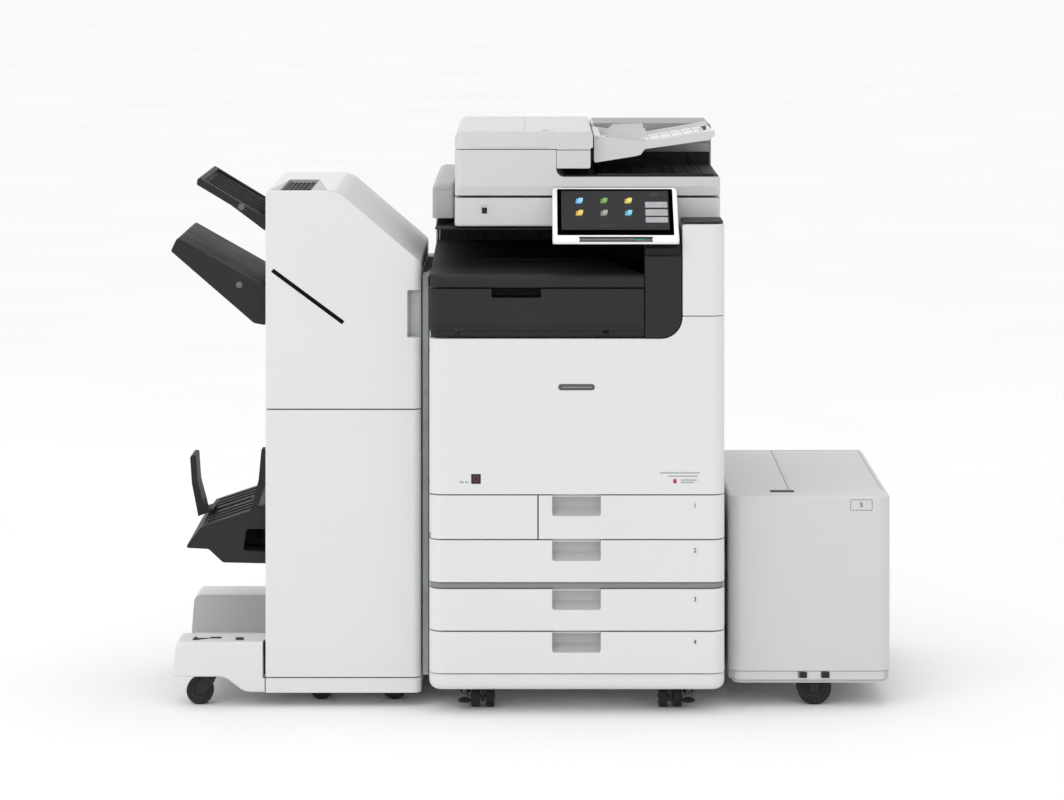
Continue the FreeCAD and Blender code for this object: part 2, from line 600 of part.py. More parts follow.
@part
def right_door():
    door = box(300, HALF_W, -256, 246.5, 463.6, 1004)
    door = fillet(door, 3.0, lambda span: span.XMin > HALF_W - 0.1
                  and span.ZMax - span.ZMin > 100)
    door = cut_each(door, *boxes(
        (298, HALF_W - 4.5, -250, 232, 470, 498),
        (298, HALF_W - 4.5, -250, 232, 768, 998),
        (302.7, HALF_W + 1, -190, 170, 504.5, 760.5),       # recess of the bypass tray
        (298, 300.7, -250, 232, 505, 760)))
    door = fuse(door, cyl("z", DOOR_PIVOT, 463.6, 1004, 5.0))
    return cut_each(door, box(296, 312, -262, -250.5, 849, 902),
                    cyl("z", DOOR_PIVOT, 462, 478, 2.56), cyl("z", DOOR_PIVOT, 990, 1006, 2.56))


@part
def bypass_tray():
    tray = fuse(box(303.4, 307.8, -186.5, 166.5, 512, 757),
                cyl("y", BYPASS_PIVOT, -186.5, 166.5, 2.5))
    tray = cut_each(tray, box(306.6, 309, -120, 100, 560, 742),
                    box(302, 309, -40, 20, 738, 758))
    return fuse(tray, box(306.2, 307.6, -60, 40, 575, 735))


# ---- reader ----
READER_X0, READER_X1 = -257.5, 305.1
READER_Y0, READER_Y1 = -251.0, 312.0
READER_Z0, READER_Z1 = 1009.8, 1070.0
TILT = (-272.0, 1050.0)         # y, z of the control panel's tilt axis


@part
def reader_housing():
    x0, x1, y0, y1 = READER_X0, READER_X1, READER_Y0, READER_Y1
    low, top = READER_Z0, READER_Z1
    reader = along_z(rect(x0, x1, y0, y1, 10), low, top)
    reader = fillet(reader, 5, lambda span: span.ZMax < low + 0.1)
    reader = cut_each(reader, *boxes(
        (x0 + 4, x1 - 4, y0 + 4, y1 - 4, low + 3.5, top - 5),
        (-186, 236, -146, 146, top - 6, top + 1),       # opening and rebate of the large glass
        (-194, 244, -154, 154, top - 3, top + 1),
        (-226, -204, -146, 146, top - 6, top + 1),      # opening and rebate of the narrow glass
        (-229, -201, -154, 154, top - 3, top + 1)))
    reader = reader.cut(along_y(rect(-200.8, -186.8, 1038, 1054, 1.5), y0 - 1, y0 + 1.6))
    # tilt bracket of the control panel
    profile = [(-262, 1014), (-250, 1014), (-250, 1062), (-259, 1062), (-272, 1058),
               (-281, 1050), (-277, 1041)]
    bracket = fuse(along_x(profile, 52, 108), cyl("x", TILT, 52, 108, 8.5),
                   cyl("x", TILT, 31, 129, 4.0))
    return fuse(reader, bracket)


@part
def platen_glass():
    return solids(*[box(x0, x1, -153.5, 153.5, READER_Z1 - 3, READER_Z1)
                    for x0, x1 in ((-193.5, 243.5), (-228.5, -201.5))])


@part
def scan_carriage():
    carriage = fuse(box(-244, -212, -150, 150, 1020, 1052), box(-241, -215, -146, 146, 1052, 1058))
    return carriage.cut(box(-236, -220, -140, 140, 1054, 1060))


# ---- document feeder, as wide as the reader ----
ADF_Z0, ADF_LOW, ADF_SEAM, ADF_TOP = 1075.0, 1114.5, 1172.0, 1210.0
ADF_REAR, BED_REAR = 320.0, 110.0
COVER_PIVOT = (-250.0, 1181.5)      # x, z of the feeder cover's axis
COVER_LUGS = (-150.0, 230.0)        # y of its lugs
ADF_PIVOT = (338.0, 1076.0)         # y, z of the rear hinges
ADF_HINGES = (-190.0, 210.0)        # x of the rear hinges
TRAY_PIVOT = (44.6, 1194.6)         # x, z of the document tray's axis
TRAY_Y0, TRAY_Y1 = -228.0, 98.0


@part
def adf_base():
    x0, x1, y0 = READER_X0, READER_X1, READER_Y0
    profile = [(x0, ADF_Z0, 3), (x1, ADF_Z0, 3), (x1, ADF_LOW, 4), (-42.3, ADF_LOW, 17),
               (-42.3, ADF_SEAM, 2), (x0, ADF_SEAM, 2)]
    base = along_y(profile, y0, ADF_REAR)
    back = rect(38.0, x1 - 1, ADF_LOW - 3, 1207, radii=(0, 0, 10, 4))
    base = fuse(base, along_y(back, BED_REAR + 3, ADF_REAR - 1))
    base = fuse(base, box(-44, 40, BED_REAR + 3, ADF_REAR, ADF_LOW - 3, ADF_SEAM))
    base = base.common(along_z(rect(x0, x1, y0, ADF_REAR, 14), 1070, 1220))
    side = [(y0 + 5, ADF_Z0), (y0, 1095, 6), (y0, 1230), (ADF_REAR, 1230), (ADF_REAR, ADF_Z0)]
    base = base.common(along_x(side, x0 - 5, x1 + 5))
    base = cut_each(base, *boxes(
        (x0 + 6, x1 - 6, y0 + 10, ADF_REAR - 6, ADF_Z0 - 1, 1098),
        (-244, -58, -222, 110, 1126, ADF_SEAM + 1),
        (60, x1 - 6, BED_REAR + 8, ADF_REAR - 7, 1090, 1202)))
    for y in COVER_LUGS:
        base = fuse(base, box(-253.5, -246.5, y - 6, y + 6, ADF_SEAM - 2, COVER_PIVOT[1]),
                    cyl("y", COVER_PIVOT, y - 6, y + 6, 3.5),
                    cyl("y", COVER_PIVOT, y - 15, y + 15, 2.5))
    hinge_y, hinge_z = ADF_PIVOT
    for x in ADF_HINGES:        # moving halves of the rear hinges
        base = fuse(base, box(x - 9, x + 9, ADF_REAR - 8, hinge_y, hinge_z + 2, hinge_z + 14),
                    tube("x", ADF_PIVOT, x - 9, x + 9, 9, 4.06))
        base = base.cut(cyl("x", ADF_PIVOT, x - 10, x + 10, 4.06))
    pad = box(-190, 240, -150, 150, 1070.6, 1098)
    tray_axle = cyl("y", TRAY_PIVOT, TRAY_Y0 + 2, BED_REAR + 4, 2.5)
    return solids(fuse(base, tray_axle), pad)


@part
def adf_hinges():
    y0, y1, top = ADF_PIVOT[0] - 8, ADF_PIVOT[0] + 8, ADF_PIVOT[1]
    return solids(*[fuse(
        box(x - 24, x - 9.6, y0, y1, 1064, top), box(x + 9.6, x + 24, y0, y1, 1064, top),
        cyl("x", ADF_PIVOT, x - 24, x - 9.6, 8), cyl("x", ADF_PIVOT, x + 9.6, x + 24, 8),
        cyl("x", ADF_PIVOT, x - 25, x + 25, 4.0),
        box(x - 24, x + 24, 322, 352, 1064.0, 1066.4)) for x in ADF_HINGES])


@part
def adf_paper_bed():
    low = ADF_LOW
    bed = fuse(box(-24.6, 301, -238, BED_REAR + 2.0, low, low + 2.5),
               box(42, 301, BED_REAR - 1, BED_REAR + 2.4, low, 1163))
    bed = bed.cut(box(296, 302, -100, -20, low + 1.5, low + 5))
    for x in range(-20, 330, 70):
        bed = fuse(bed, box(x, x + 3, -225, 95, low + 2, low + 4.0))
    return bed


@part
def adf_feeder_cover():
    x0, y0, low = READER_X0, READER_Y0, ADF_SEAM + 1.6
    profile = [(x0, low, 7), (-41.4, low), (-41.4, 1132.7, 4), (30.0, 1132.7, 4),
               (30.0, 1176, 2), (35.3, 1176, 2), (35.3, ADF_TOP, 9), (x0, ADF_TOP, 16)]
    cover = along_y(profile, y0, ADF_REAR - 2)
    cover = cover.cut(box(-46, 40, BED_REAR + 1, ADF_REAR + 1, 1100, low))
    plan = rect(x0, 60, y0, ADF_REAR - 2, radii=(18, 0, 0, 14))
    cover = cover.common(along_z(plan, 1100, 1300))
    cover = fillet(cover, 6, lambda span: span.ZMin > ADF_TOP - 0.1 and span.YMax < y0 + 0.1)
    cover = cut_each(cover, *boxes(
        (-236, -60, -222, 104, 1160, 1203), (-61, 24, -236, 104, 1150, 1200),
        (-48, 25, -236, 104, 1130, 1151), (10, 45, -232, 104, 1140, 1192)))
    for y in COVER_LUGS:
        cover = cut_each(cover, box(-262, -238, y - 6.8, y + 6.8, 1165, 1194),
                         cyl("y", COVER_PIVOT, y - 16, y + 16, 2.56))
    return cover.cut(box(-40, 28, y0 - 1, y0 + 5, 1130, 1131))


@part
def adf_feed_roller():
    axis = (-90.0, 1140.0)
    return fuse(cyl("y", axis, -219, 107, 4.0),
                *[cyl("y", axis, y0, y1, 13) for y0, y1 in ((-90, -50), (-20, 20), (50, 70))])


@part
def adf_document_tray():
    """Tray with a slightly raised left part and a steeper right part."""
    y0, y1 = TRAY_Y0, TRAY_Y1
    # (x, z, radius)
    profile = [(38, 1143, 4), (126, 1157, 4), (137, 1160), (146, 1172), (282, 1191, 3),
               (295, 1201, 3), (293, 1212.5, 3), (279, 1209.5), (141, 1186.5), (137, 1187.5, 4),
               (38, 1201, 4)]
    trough = [(52, 1184), (137, 1179.5), (279, 1202.6), (300, 1206), (300, 1230), (52, 1230)]
    hollow = [(46, 1150, 3), (126, 1161, 3), (137, 1174), (48, 1178, 2)]
    tray = cut_each(
        along_y(profile, y0, y1), along_y(trough, y0 + 12, y1 - 12),
        along_y(hollow, y0 + 4, y1 - 4),
        box(90, 94, -178, -80, 1170, 1200), box(90, 94, -50, 48, 1170, 1200))    # guide slots
    tray = fuse(tray, cyl("y", TRAY_PIVOT, y0, y0 + 14, 6.2),
                cyl("y", TRAY_PIVOT, y1 - 14, y1, 6.2))
    tray = tray.cut(cyl("y", TRAY_PIVOT, y0 - 1, y1 + 1, 2.56))
    stop = [(264, 1198.5), (272, 1211), (284, 1213), (284, 1201.0)]
    return fuse(tray, along_y(stop, -70, -52))


def guide(y0, y1, face):
    """Width guide: an upright fence on a foot whose tongue runs in the tray's slot."""
    fence = along_y([(70, 1186.0), (150, 1190.5), (150, 1212, 4), (84, 1210, 4), (70, 1198, 4)],
                    face, face + 4)
    foot = along_y([(70, 1184.4), (136, 1181.6), (152, 1184.2), (152, 1187.2), (70, 1187.2)],
                   y0, y1)
    return fuse(fuse(fence, foot), box(90.8, 93.2, y0 + 4, y1 - 4, 1181.4, 1186))


PARTS["adf_guide_front"] = guide(-150, -126, -150)
PARTS["adf_guide_rear"] = guide(0, 24, 20)

# ---- control panel ----
PANEL_X0, PANEL_W, PANEL_T = -51.0, 263.3, 16.0
PANEL_Y0, PANEL_Z0 = -395.0, 990.6      # lower edge of the face
PANEL_Y1, PANEL_Z1 = -256.0, 1093.3     # upper edge of the face
PANEL_LENGTH = math.hypot(PANEL_Y1 - PANEL_Y0, PANEL_Z1 - PANEL_Z0)
PANEL_TILT = math.degrees(math.atan2(PANEL_Z1 - PANEL_Z0, PANEL_Y1 - PANEL_Y0))
GLASS = (10.5, 252.8, 21.5, 166.5)      # on the face: left, right, bottom, top
KEY_X0, KEY_X1 = 168.0, 206.0


def on_panel(shape):
    """Moves a shape drawn flat (X right, Y up the panel, Z out of its face) onto the panel."""
    placed = shape.copy()
    placed.rotate(Vector(0, 0, 0), Vector(1, 0, 0), PANEL_TILT)
    placed.translate(Vector(PANEL_X0, PANEL_Y0, PANEL_Z0))
    return placed


@part
def panel_housing():
    slab = along_z(rect(0, PANEL_W, 0, PANEL_LENGTH, 9), -PANEL_T, 0)
    slab = fillet(slab, 3.0, lambda span: span.ZMin > -0.1)
    slab = fillet(slab, 6.0, lambda span: span.ZMax < -PANEL_T + 0.1)
    undercut = [(-2.0, -4.43), (16.0, -18.57), (-2.0, -18.57)]      # below the lower edge
    x0, x1, y0, y1 = GLASS
    slab = cut_each(
        slab, along_x(undercut, -1.0, PANEL_W + 1.0),
        along_z(rect(x0 - 0.4, x1 + 0.4, y0 - 0.4, y1 + 0.4, 3), -3.4, 1),
        along_z(rect(56, 207.5, 2.6, 10.6, 1), -2.2, 1),
        along_z(rect(KEY_X0 - 0.8, KEY_X1 + 0.8, 2.6, 10.6, 1), -6.6, 1))
    reader_side = box(-100, 300, -254.6, -200, 1000, 1200)
    panel = on_panel(slab).cut(reader_side)
    # tilt lugs, trimmed so that they stay behind the face
    above = on_panel(along_z(rect(-20, PANEL_W + 20, -20, PANEL_LENGTH + 40), -PANEL_T + 2, 60))
    web = [(-280.0, 1051), (-264.0, 1051), (-259.5, 1072.5), (-288, 1052)]
    lugs = [fuse(cyl("x", TILT, left, right, 8.4), along_x(web, left, right)).cut(above)
            for left, right in ((32, 50.6), (109.4, 128))]
    panel = cut_each(fuse(panel, *lugs), cyl("x", TILT, 30, 130, 4.06), reader_side)
    return solids(panel, on_panel(along_z(rect(*GLASS, 2.5), -3.0, -0.3)))


@part
def energy_saver_key():
    return on_panel(along_z(rect(KEY_X0, KEY_X1, 3.3, 9.9, 0.8), -4.6, -0.5))


# ---- finisher ----
FIN_X0, FIN_X1 = -655.5, -328.0
FIN_FRONT, FIN_REAR, FIN_TOP = -281.0, 259.0, 1087.0
FIN_SEAM = 626.9                    # between the two doors
FIN_BASE, FIN_BASE_TOP = 30.0, 60.5
DOOR_REAR = FIN_FRONT + 19.0
SLOPE_X, SLOPE_END = -503.0, 937.5  # the top slopes from SLOPE_X down to SLOPE_END at the right
# (x, z, radius) of the housing
FIN_OUTER = [(FIN_X0, 62.0), (FIN_X1, 62.0), (FIN_X1, SLOPE_END, 8), (SLOPE_X, FIN_TOP, 60),
             (FIN_X0, FIN_TOP, 7)]
FIN_INNER = [(FIN_X0 + 3, 65.0), (FIN_X1 - 3, 65.0), (FIN_X1 - 3, SLOPE_END - 1.4, 6),
             (SLOPE_X - 1.1, FIN_TOP - 3, 57), (FIN_X0 + 3, FIN_TOP - 3, 4)]
HOOK_Y = (-140.0, 40.0)             # hooks of the stacking trays
# heights and (x, y) axes of the door hinges; the lower axis lies nearer the door's face
# so that it clears the booklet base
UPPER_HINGES = ((650.0, 1040.0), (-651.2, -266.4))
LOWER_HINGES = ((90.0, 600.0), (-651.2, -272.4))


def hinge_arms(heights, pivot):
    return [fuse(box(-654.2, -648.2, pivot[1], DOOR_REAR + 6, z - 3.6, z + 3.6),
                 cyl("z", pivot, z - 3.6, z + 3.6, 3.0), cyl("z", pivot, z - 15, z + 15, 2.5),
                 box(-654.2, -645, DOOR_REAR + 3.0, DOOR_REAR + 6, z - 10, z + 10))
            for z in heights]


@part
def finisher_frame():
    """Housing with hinge arms, inner frame, docking plate and the feed roller pair."""
    rear, top = FIN_REAR, FIN_TOP
    shell = along_y(FIN_OUTER, DOOR_REAR + 3.0, rear)
    shell = shell.cut(along_y(FIN_INNER, DOOR_REAR + 2, rear - 3))
    shell = shell.common(along_z(rect(FIN_X0, FIN_X1, DOOR_REAR, rear, radii=(0, 0, 8, 8)),
                                 50, 1100))
    openings = [box(FIN_X0 - 1, FIN_X0 + 4, y - 8, y + 8, 590, 1050) for y in HOOK_Y]
    openings += boxes((FIN_X0 - 1, FIN_X0 + 4, -170, 70, 400, 440),         # booklet exit
                      (FIN_X1 - 4, FIN_X1 + 1, -165, 165, 905, 925),        # paper inlet
                      (-627, -561, DOOR_REAR, 41, top - 5, top + 2))        # top cover
    shell = cut_each(shell, *openings)
    # recess box that carries the top cover
    recess = box(-630, -558, DOOR_REAR + 3, 44, top - 20, top - 2.5)
    shell = fuse(shell, recess.cut(box(-627, -561, DOOR_REAR + 2, 41, top - 17, top)))
    inner_frame = fuse(*boxes(
        (-640, -331.5, rear - 40, rear - 37, 70, 920),
        (-640, -331.5, -240, rear - 37, 300, 302.5),
        (-640, -331.5, -240, rear - 37, 620, 622.5),
        (-600, -540, -238, 215, 640, 690),
        (-500, -380, -238, 215, 320, 420)))
    dock = cut_each(along_z(rect(-326.0, -311.5, -262, 240, 2), 64, 905),
                    box(-330, -311, -165, 165, 880, 910), box(-322, -300, -240, 220, 90, 860))
    feed = [cyl("y", (-350, z), -200, 200, 9.0) for z in (904.5, 925.5)]
    shell = fuse(shell, *hinge_arms(*UPPER_HINGES), *hinge_arms(*LOWER_HINGES))
    return solids(shell, inner_frame, dock, *feed)


def door_panel(z0, z1):
    """Front slice of the housing between two heights, hollow from behind."""
    plan = rect(FIN_X0 + 0.05, FIN_X1 - 0.05, FIN_FRONT, DOOR_REAR, radii=(3, 17, 0, 0))
    body = along_y(FIN_OUTER, FIN_FRONT, DOOR_REAR)
    body = body.common(box(FIN_X0 - 1, FIN_X1 + 1, FIN_FRONT - 1, DOOR_REAR + 1, z0, z1))
    body = body.common(along_z(plan, 40, 1200))
    body = fillet(body, 2.0, lambda span: span.YMax < FIN_FRONT + 0.1)
    hollow = along_y(FIN_INNER, FIN_FRONT + 3, DOOR_REAR + 1)
    return body.cut(hollow.common(
        box(FIN_X0 + 4, FIN_X1 - 12, FIN_FRONT, DOOR_REAR + 2, z0 + 3, z1 - 3)))


def add_knuckles(door, heights, pivot):
    for z in heights:
        door = fuse(door, cyl("z", pivot, z - 16, z - 5, 4.2), cyl("z", pivot, z + 5, z + 16, 4.2))
        door = cut_each(door, cyl("z", pivot, z - 18, z + 18, 2.56),
                        box(FIN_X0 - 1, -640, pivot[1] - 5.5, DOOR_REAR + 1, z - 4.4, z + 4.4))
    return door


@part
def finisher_upper_door():
    door = door_panel(FIN_SEAM + 1.3, 1200)
    grip = rect(-356.5, -300, 778.6, 878.3, radii=(3, 0, 0, 3))
    door = door.cut(along_y(grip, FIN_FRONT - 1, FIN_FRONT + 13))
    door = fuse(door, box(-360, FIN_X1 - 4.0, FIN_FRONT + 12.5, DOOR_REAR, 775, 882))
    # slanting groove in the face; (side_x, side_z) reaches from its centre line to its side
    side_x, side_z = [3.4 * part_length for part_length in unit(108.0, 146.0)]
    (x0, z0), (x1, z1) = (-640.5, 920.0), (-492.0, 810.0)
    groove = [(x0 + side_x, z0 + side_z), (x1 + side_x, z1 + side_z),
              (x1 - side_x, z1 - side_z), (x0 - side_x, z0 - side_z)]
    door = door.cut(along_y(groove, FIN_FRONT - 1, FIN_FRONT + 2.2))
    return add_knuckles(door, *UPPER_HINGES)


@part
def finisher_lower_door():
    return add_knuckles(door_panel(FIN_BASE_TOP + 2.2, FIN_SEAM - 1.3), *LOWER_HINGES)


@part
def finisher_top_cover():
    y0, y1, top = DOOR_REAR + 4.2, 39.8, FIN_TOP
    cover = fuse(box(-622.0, -562.2, y0, y1, top - 10.8, top - 7.4),
                 cyl("y", (-622.0, top - 9.0), y0, y1, 3.0))
    cover = fuse(cover, box(-574, -562.2, -160, -60, top - 8, top - 5.5))
    return cut_each(cover, *[box(x, x + 2, -250, 30, top - 8.2, top - 7)
                             for x in range(-612, -576, 6)])


# ---- finisher base and casters ----
FIN_CASTER_R, SWIVEL_R = 25.0, 28.5
FIN_CASTERS_X = (-541.6, -386.0)
FIN_CASTERS_Y = (-200.0, 120.0)
SWIVEL_X, SWIVEL_Y = -776.0, -246.0     # upright axis of the swivel caster
SWIVEL_WHEEL_X = SWIVEL_X - 20.0        # its wheel trails to the left


@part
def finisher_base():
    base = along_z(rect(FIN_X0, FIN_X1, FIN_FRONT, FIN_REAR, radii=(3, 17, 8, 8)),
                   FIN_BASE, FIN_BASE_TOP)
    plan_in = rect(FIN_X0 + 3, FIN_X1 - 3, FIN_FRONT + 3, FIN_REAR - 3, radii=(2, 14, 5, 5))
    base = base.cut(along_z(plan_in, FIN_BASE - 1, FIN_BASE_TOP - 4))
    lugs = []
    for x in FIN_CASTERS_X:
        for y in FIN_CASTERS_Y:
            lugs += [box(x - 8, x + 8, y - 17, y - 13.5, 20, FIN_BASE_TOP - 3),
                     box(x - 8, x + 8, y + 13.5, y + 17, 20, FIN_BASE_TOP - 3),
                     cyl("y", (x, FIN_CASTER_R), y - 17, y + 17, 3.0)]
    return fuse(base, *lugs)


def caster_wheel(x, y, radius=FIN_CASTER_R, width=24.0, bore=3.06):
    """Wheel on a Y axis standing on the floor, with a ring groove in each side."""
    centre, y0, y1 = (x, radius), y - width / 2, y + width / 2
    wheel = round_rims(tube("y", centre, y0, y1, radius, bore), radius, 3.0)
    return cut_each(wheel, tube("y", centre, y0 - 1, y0 + 2, radius * 0.62, radius * 0.28),
                    tube("y", centre, y1 - 2, y1 + 1, radius * 0.62, radius * 0.28))


for side, x in zip(("left", "right"), FIN_CASTERS_X):
    PARTS[f"finisher_wheels_{side}"] = solids(*[caster_wheel(x, y) for y in FIN_CASTERS_Y])


@part
def booklet_base():
    """Floor to the left of the finisher with a front leg, a rear block and a glide foot."""
    swivel, rear_y = (SWIVEL_X, SWIVEL_Y), FIN_CASTERS_Y[1]
    leg = along_y([(-852, 63, 8), (-844.5, 137, 12), (-657.2, 137), (-657.2, 30.5),
                   (-700, 30.5, 40), (-742, 63, 40)], FIN_FRONT, -193)
    leg = fillet(leg, 5, lambda span: span.YMax < FIN_FRONT + 0.1 and span.ZMax > 50
                 and span.XMax < -660)
    leg = leg.cut(along_y([(-848, 58), (-841, 133.5, 8), (-660.5, 133.5), (-660.5, 20),
                           (-700, 20, 36), (-740, 58, 36)], FIN_FRONT + 3.5, -196.5))
    block = along_y([(-848, 63, 8), (-840, 166, 16), (-657.2, 166), (-657.2, 63)], 71, 169)
    block = block.cut(along_y([(-844, 60), (-836.5, 162.5, 12), (-660.5, 162.5), (-660.5, 60)],
                              74.5, 165.5))
    seat_plate = box(-846, -700, FIN_FRONT + 3, -196, 80.0, 84.0)
    seat = fuse(tube("z", swivel, 63.0, 80.0, 15.0, 6.06),
                seat_plate.cut(cyl("z", swivel, 60, 90, 6.06)))
    foot = (-790.0, rear_y)
    glide = fuse(cyl("z", foot, 0.0, 8.0, 16.0), cyl("z", foot, 8.0, 14.0, 11.0),
                 cyl("z", foot, 14.0, 70.0, 5.0))
    base = fuse(
        leg, block,
        box(-838, -657.2, -194, 72, 63, 74),            # floor
        box(-838, -657.2, 60, 71.5, 63, 84),            # rim
        seat, glide, cyl("z", foot, 52.0, 66.0, 12.0),
        box(-800, -780, rear_y - 17, rear_y + 17, 66, 76),
        box(-846, -657.2, rear_y - 6, rear_y + 6, 66, 76),
        # small raised pieces on top of the leg
        along_y([(-812, 136.5), (-800, 136.5), (-806, 140.5, 1)], -262, -240),
        box(-775, -752, -246, -238, 136.5, 139.0), box(-720, -704, -262, -246, 136.5, 140.0))
    return base.cut(box(-661.4, -650, FIN_FRONT - 1, -257, 60.6, 170))


@part
def finisher_caster_fork():
    x, y, wheel_x = SWIVEL_X, SWIVEL_Y, SWIVEL_WHEEL_X
    fork = fuse(cyl("z", (x, y), 61.8, 88.0, 6.0), cyl("z", (x, y), 58.0, 62.0, 14.0))
    cheek = [(wheel_x - 8, SWIVEL_R - 7, 4), (wheel_x + 8, SWIVEL_R - 7, 4), (x + 12, 50),
             (x + 12, 62), (x - 12, 62), (wheel_x - 6, 44)]
    for y0, y1 in ((y - 17.5, y - 14.0), (y + 14.0, y + 17.5)):
        fork = fuse(fork, along_y(cheek, y0, y1))
    return fuse(fork, box(x - 12, x + 12, y - 17.5, y + 17.5, 59.0, 62.0),
                cyl("y", (wheel_x, SWIVEL_R), y - 18.5, y + 18.5, 3.0))


PARTS["finisher_caster_wheel"] = caster_wheel(SWIVEL_WHEEL_X, SWIVEL_Y, SWIVEL_R, 26.0)


# ---- finisher trays; their outlines are (x, z, radius) ----
def add_disc(tray, centre):
    """Round boss in a ring groove on the front side."""
    tray = tray.cut(cyl("y", centre, -232, -229.5, 7.8))
    return fuse(tray, cyl("y", centre, -231, -229, 7.0))


def add_hooks(tray, z0, z1):
    for y in HOOK_Y:
        tray = fuse(tray, box(-659, -646, y - 5, y + 5, z0, z1))
    return tray


@part
def upper_tray():
    tray = along_y([(-802.8, 1114, 5), (-805.5, 1097, 4), (-731.7, 1052.7, 30),
                    (-661.4, 999.6), (-658.6, 1003), (-658.6, 1026, 2)], -231, 119)
    tray = tray.cut(along_y([(-790, 1111), (-664, 1036), (-664, 1026), (-792, 1100)], -214, 102))
    return add_hooks(add_disc(tray, (-710.7, 1049.7)), 1004, 1022)


@part
def lower_tray():
    tray = along_y([(-846.7, 984.6, 6), (-860.5, 955.9, 6), (-684, 803, 14), (-661.4, 799),
                    (-658.6, 802), (-658.6, 878.5)], -231, 150)
    trough = [(-842, 978), (-663, 876.5), (-663, 850), (-700, 868, 40), (-850, 952)]
    hollow = [(-838, 956), (-690, 870), (-664, 845), (-664, 815), (-686, 815)]
    tray = cut_each(tray, along_y(trough, -214, 133),
                    along_y(hollow, -222, 141).common(box(-900, -650, -222, 141, 700, 925)))
    tray = add_disc(tray, (-715.3, 884.2))
    bridge = [(-700, 868, 30), (-664, 852), (-664, 846), (-702, 862)]
    return add_hooks(fuse(tray, along_y(bridge, -223, 142)), 845, 870)


@part
def booklet_tray():
    tray = along_y([(-826, 331, 3), (-796, 370, 6), (-688, 406, 6), (-658, 419), (-658, 293),
                    (-749.5, 295, 10), (-780, 323.5, 10), (-826, 326, 3)], -231, 119)
    front_recess = [(-707, 320, 6), (-660, 318), (-660, 366), (-700, 366, 8)]
    hollow = [(-790, 361, 4), (-700, 392, 4), (-672, 400), (-672, 330), (-740, 330, 6),
              (-775, 345, 6)]
    tray = cut_each(tray, along_y(front_recess, -232, -150), along_y(hollow, -222, 110))
    deck = along_y([(-796, 370), (-688, 406), (-660, 418), (-660, 413), (-688, 401),
                    (-795, 365)], -222, 110)
    tray = fuse(tray, deck.cut(box(-800, -702, -66, -38, 340, 420)))
    tray = tray.cut(box(-796, -702, -66, -38, 350, 425))        # slot of the stopper
    arm = [(-692, 402), (-680, 402), (-663, 452, 60), (-658.4, 500), (-658.4, 536, 3),
           (-668, 536, 3), (-674, 470, 80)]
    return fuse(tray, *[along_y(arm, y, y + 26) for y in (-231, 69)])


@part
def booklet_stopper():
    fence = [(-816, 368.6), (-800, 373.8), (-806, 400, 20), (-817, 440, 60), (-821, 500, 4),
             (-834, 500, 6), (-830, 440, 60)]
    foot = [(-818, 367.8), (-782, 380), (-782, 386), (-812, 376)]
    tongue = [(-787, 358, 2), (-779, 358, 2), (-779, 384), (-787, 381)]
    return fuse(along_y(fence, -90, -14), along_y(foot, -90, -14), along_y(tongue, -58, -46))


# ---- side paper deck ----
DECK_X0, DECK_X1, DECK_Y0, DECK_Y1 = 320.4, 662.2, -286.0, 344.0
DECK_TOP, DECK_SEAM, DECK_BOTTOM = 444.8, 75.9, 49.6
LID_X0, LID_X1, LID_Y0, LID_Y1 = 452.0, 652.0, -207.0, 330.0
BUTTON = (577.0, 623.0, 415.0, 438.0)       # x0, x1, z0, z1 of its recess
DECK_WHEEL_X, DECK_WHEEL_R = 503.0, 36.0
DECK_WHEELS_Y = (-241.0, 250.0)


def deck_plan(inset_x, inset_y, front_r, rear_r, rear_inset=None):
    """Outline of the deck seen from above, drawn in from its sides."""
    rear_inset = inset_y if rear_inset is None else rear_inset
    return rect(DECK_X0 + inset_x, DECK_X1 - inset_x, DECK_Y0 + inset_y, DECK_Y1 - rear_inset,
                radii=(front_r, front_r, rear_r, rear_r))


def deck_body():
    top, ledge = DECK_TOP, (DECK_TOP - 12, DECK_TOP - 8.2)
    body = along_z(deck_plan(0, 0, 30, 12), DECK_SEAM + 1.2, top)
    body = fillet(body, 7, lambda span: span.ZMin > top - 0.1)
    body = cut_each(
        body, along_z(deck_plan(4, 6.5, 24, 8, rear_inset=5), DECK_SEAM + 6, top - 10),
        box(LID_X0, LID_X1, LID_Y0, LID_Y1, top - 12, top + 1),
        box(412, LID_X0 + 1, LID_Y0, LID_Y0 + 3.4, top - 5, top + 1))
    # ledges under the lid
    body = fuse(body, box(LID_X0 + 40, LID_X1, LID_Y0, LID_Y0 + 10, *ledge),
                box(LID_X0 + 40, LID_X1, LID_Y1 - 10, LID_Y1, *ledge),
                box(LID_X1 - 8, LID_X1, LID_Y0, LID_Y1, *ledge))
    body = body.cut(along_y(rect(*BUTTON, 2), DECK_Y0 - 1, DECK_Y0 + 4.8))
    # inner walls, then the docking piece on the left
    body = fuse(body, box(412, 416, -195, 200, DECK_SEAM + 5, 430),
                box(653.0, 658.5, -195, 200, DECK_SEAM + 5, 300))
    return fuse(body, along_y(rect(312, 322, 150, 300, 2), -160, 100))


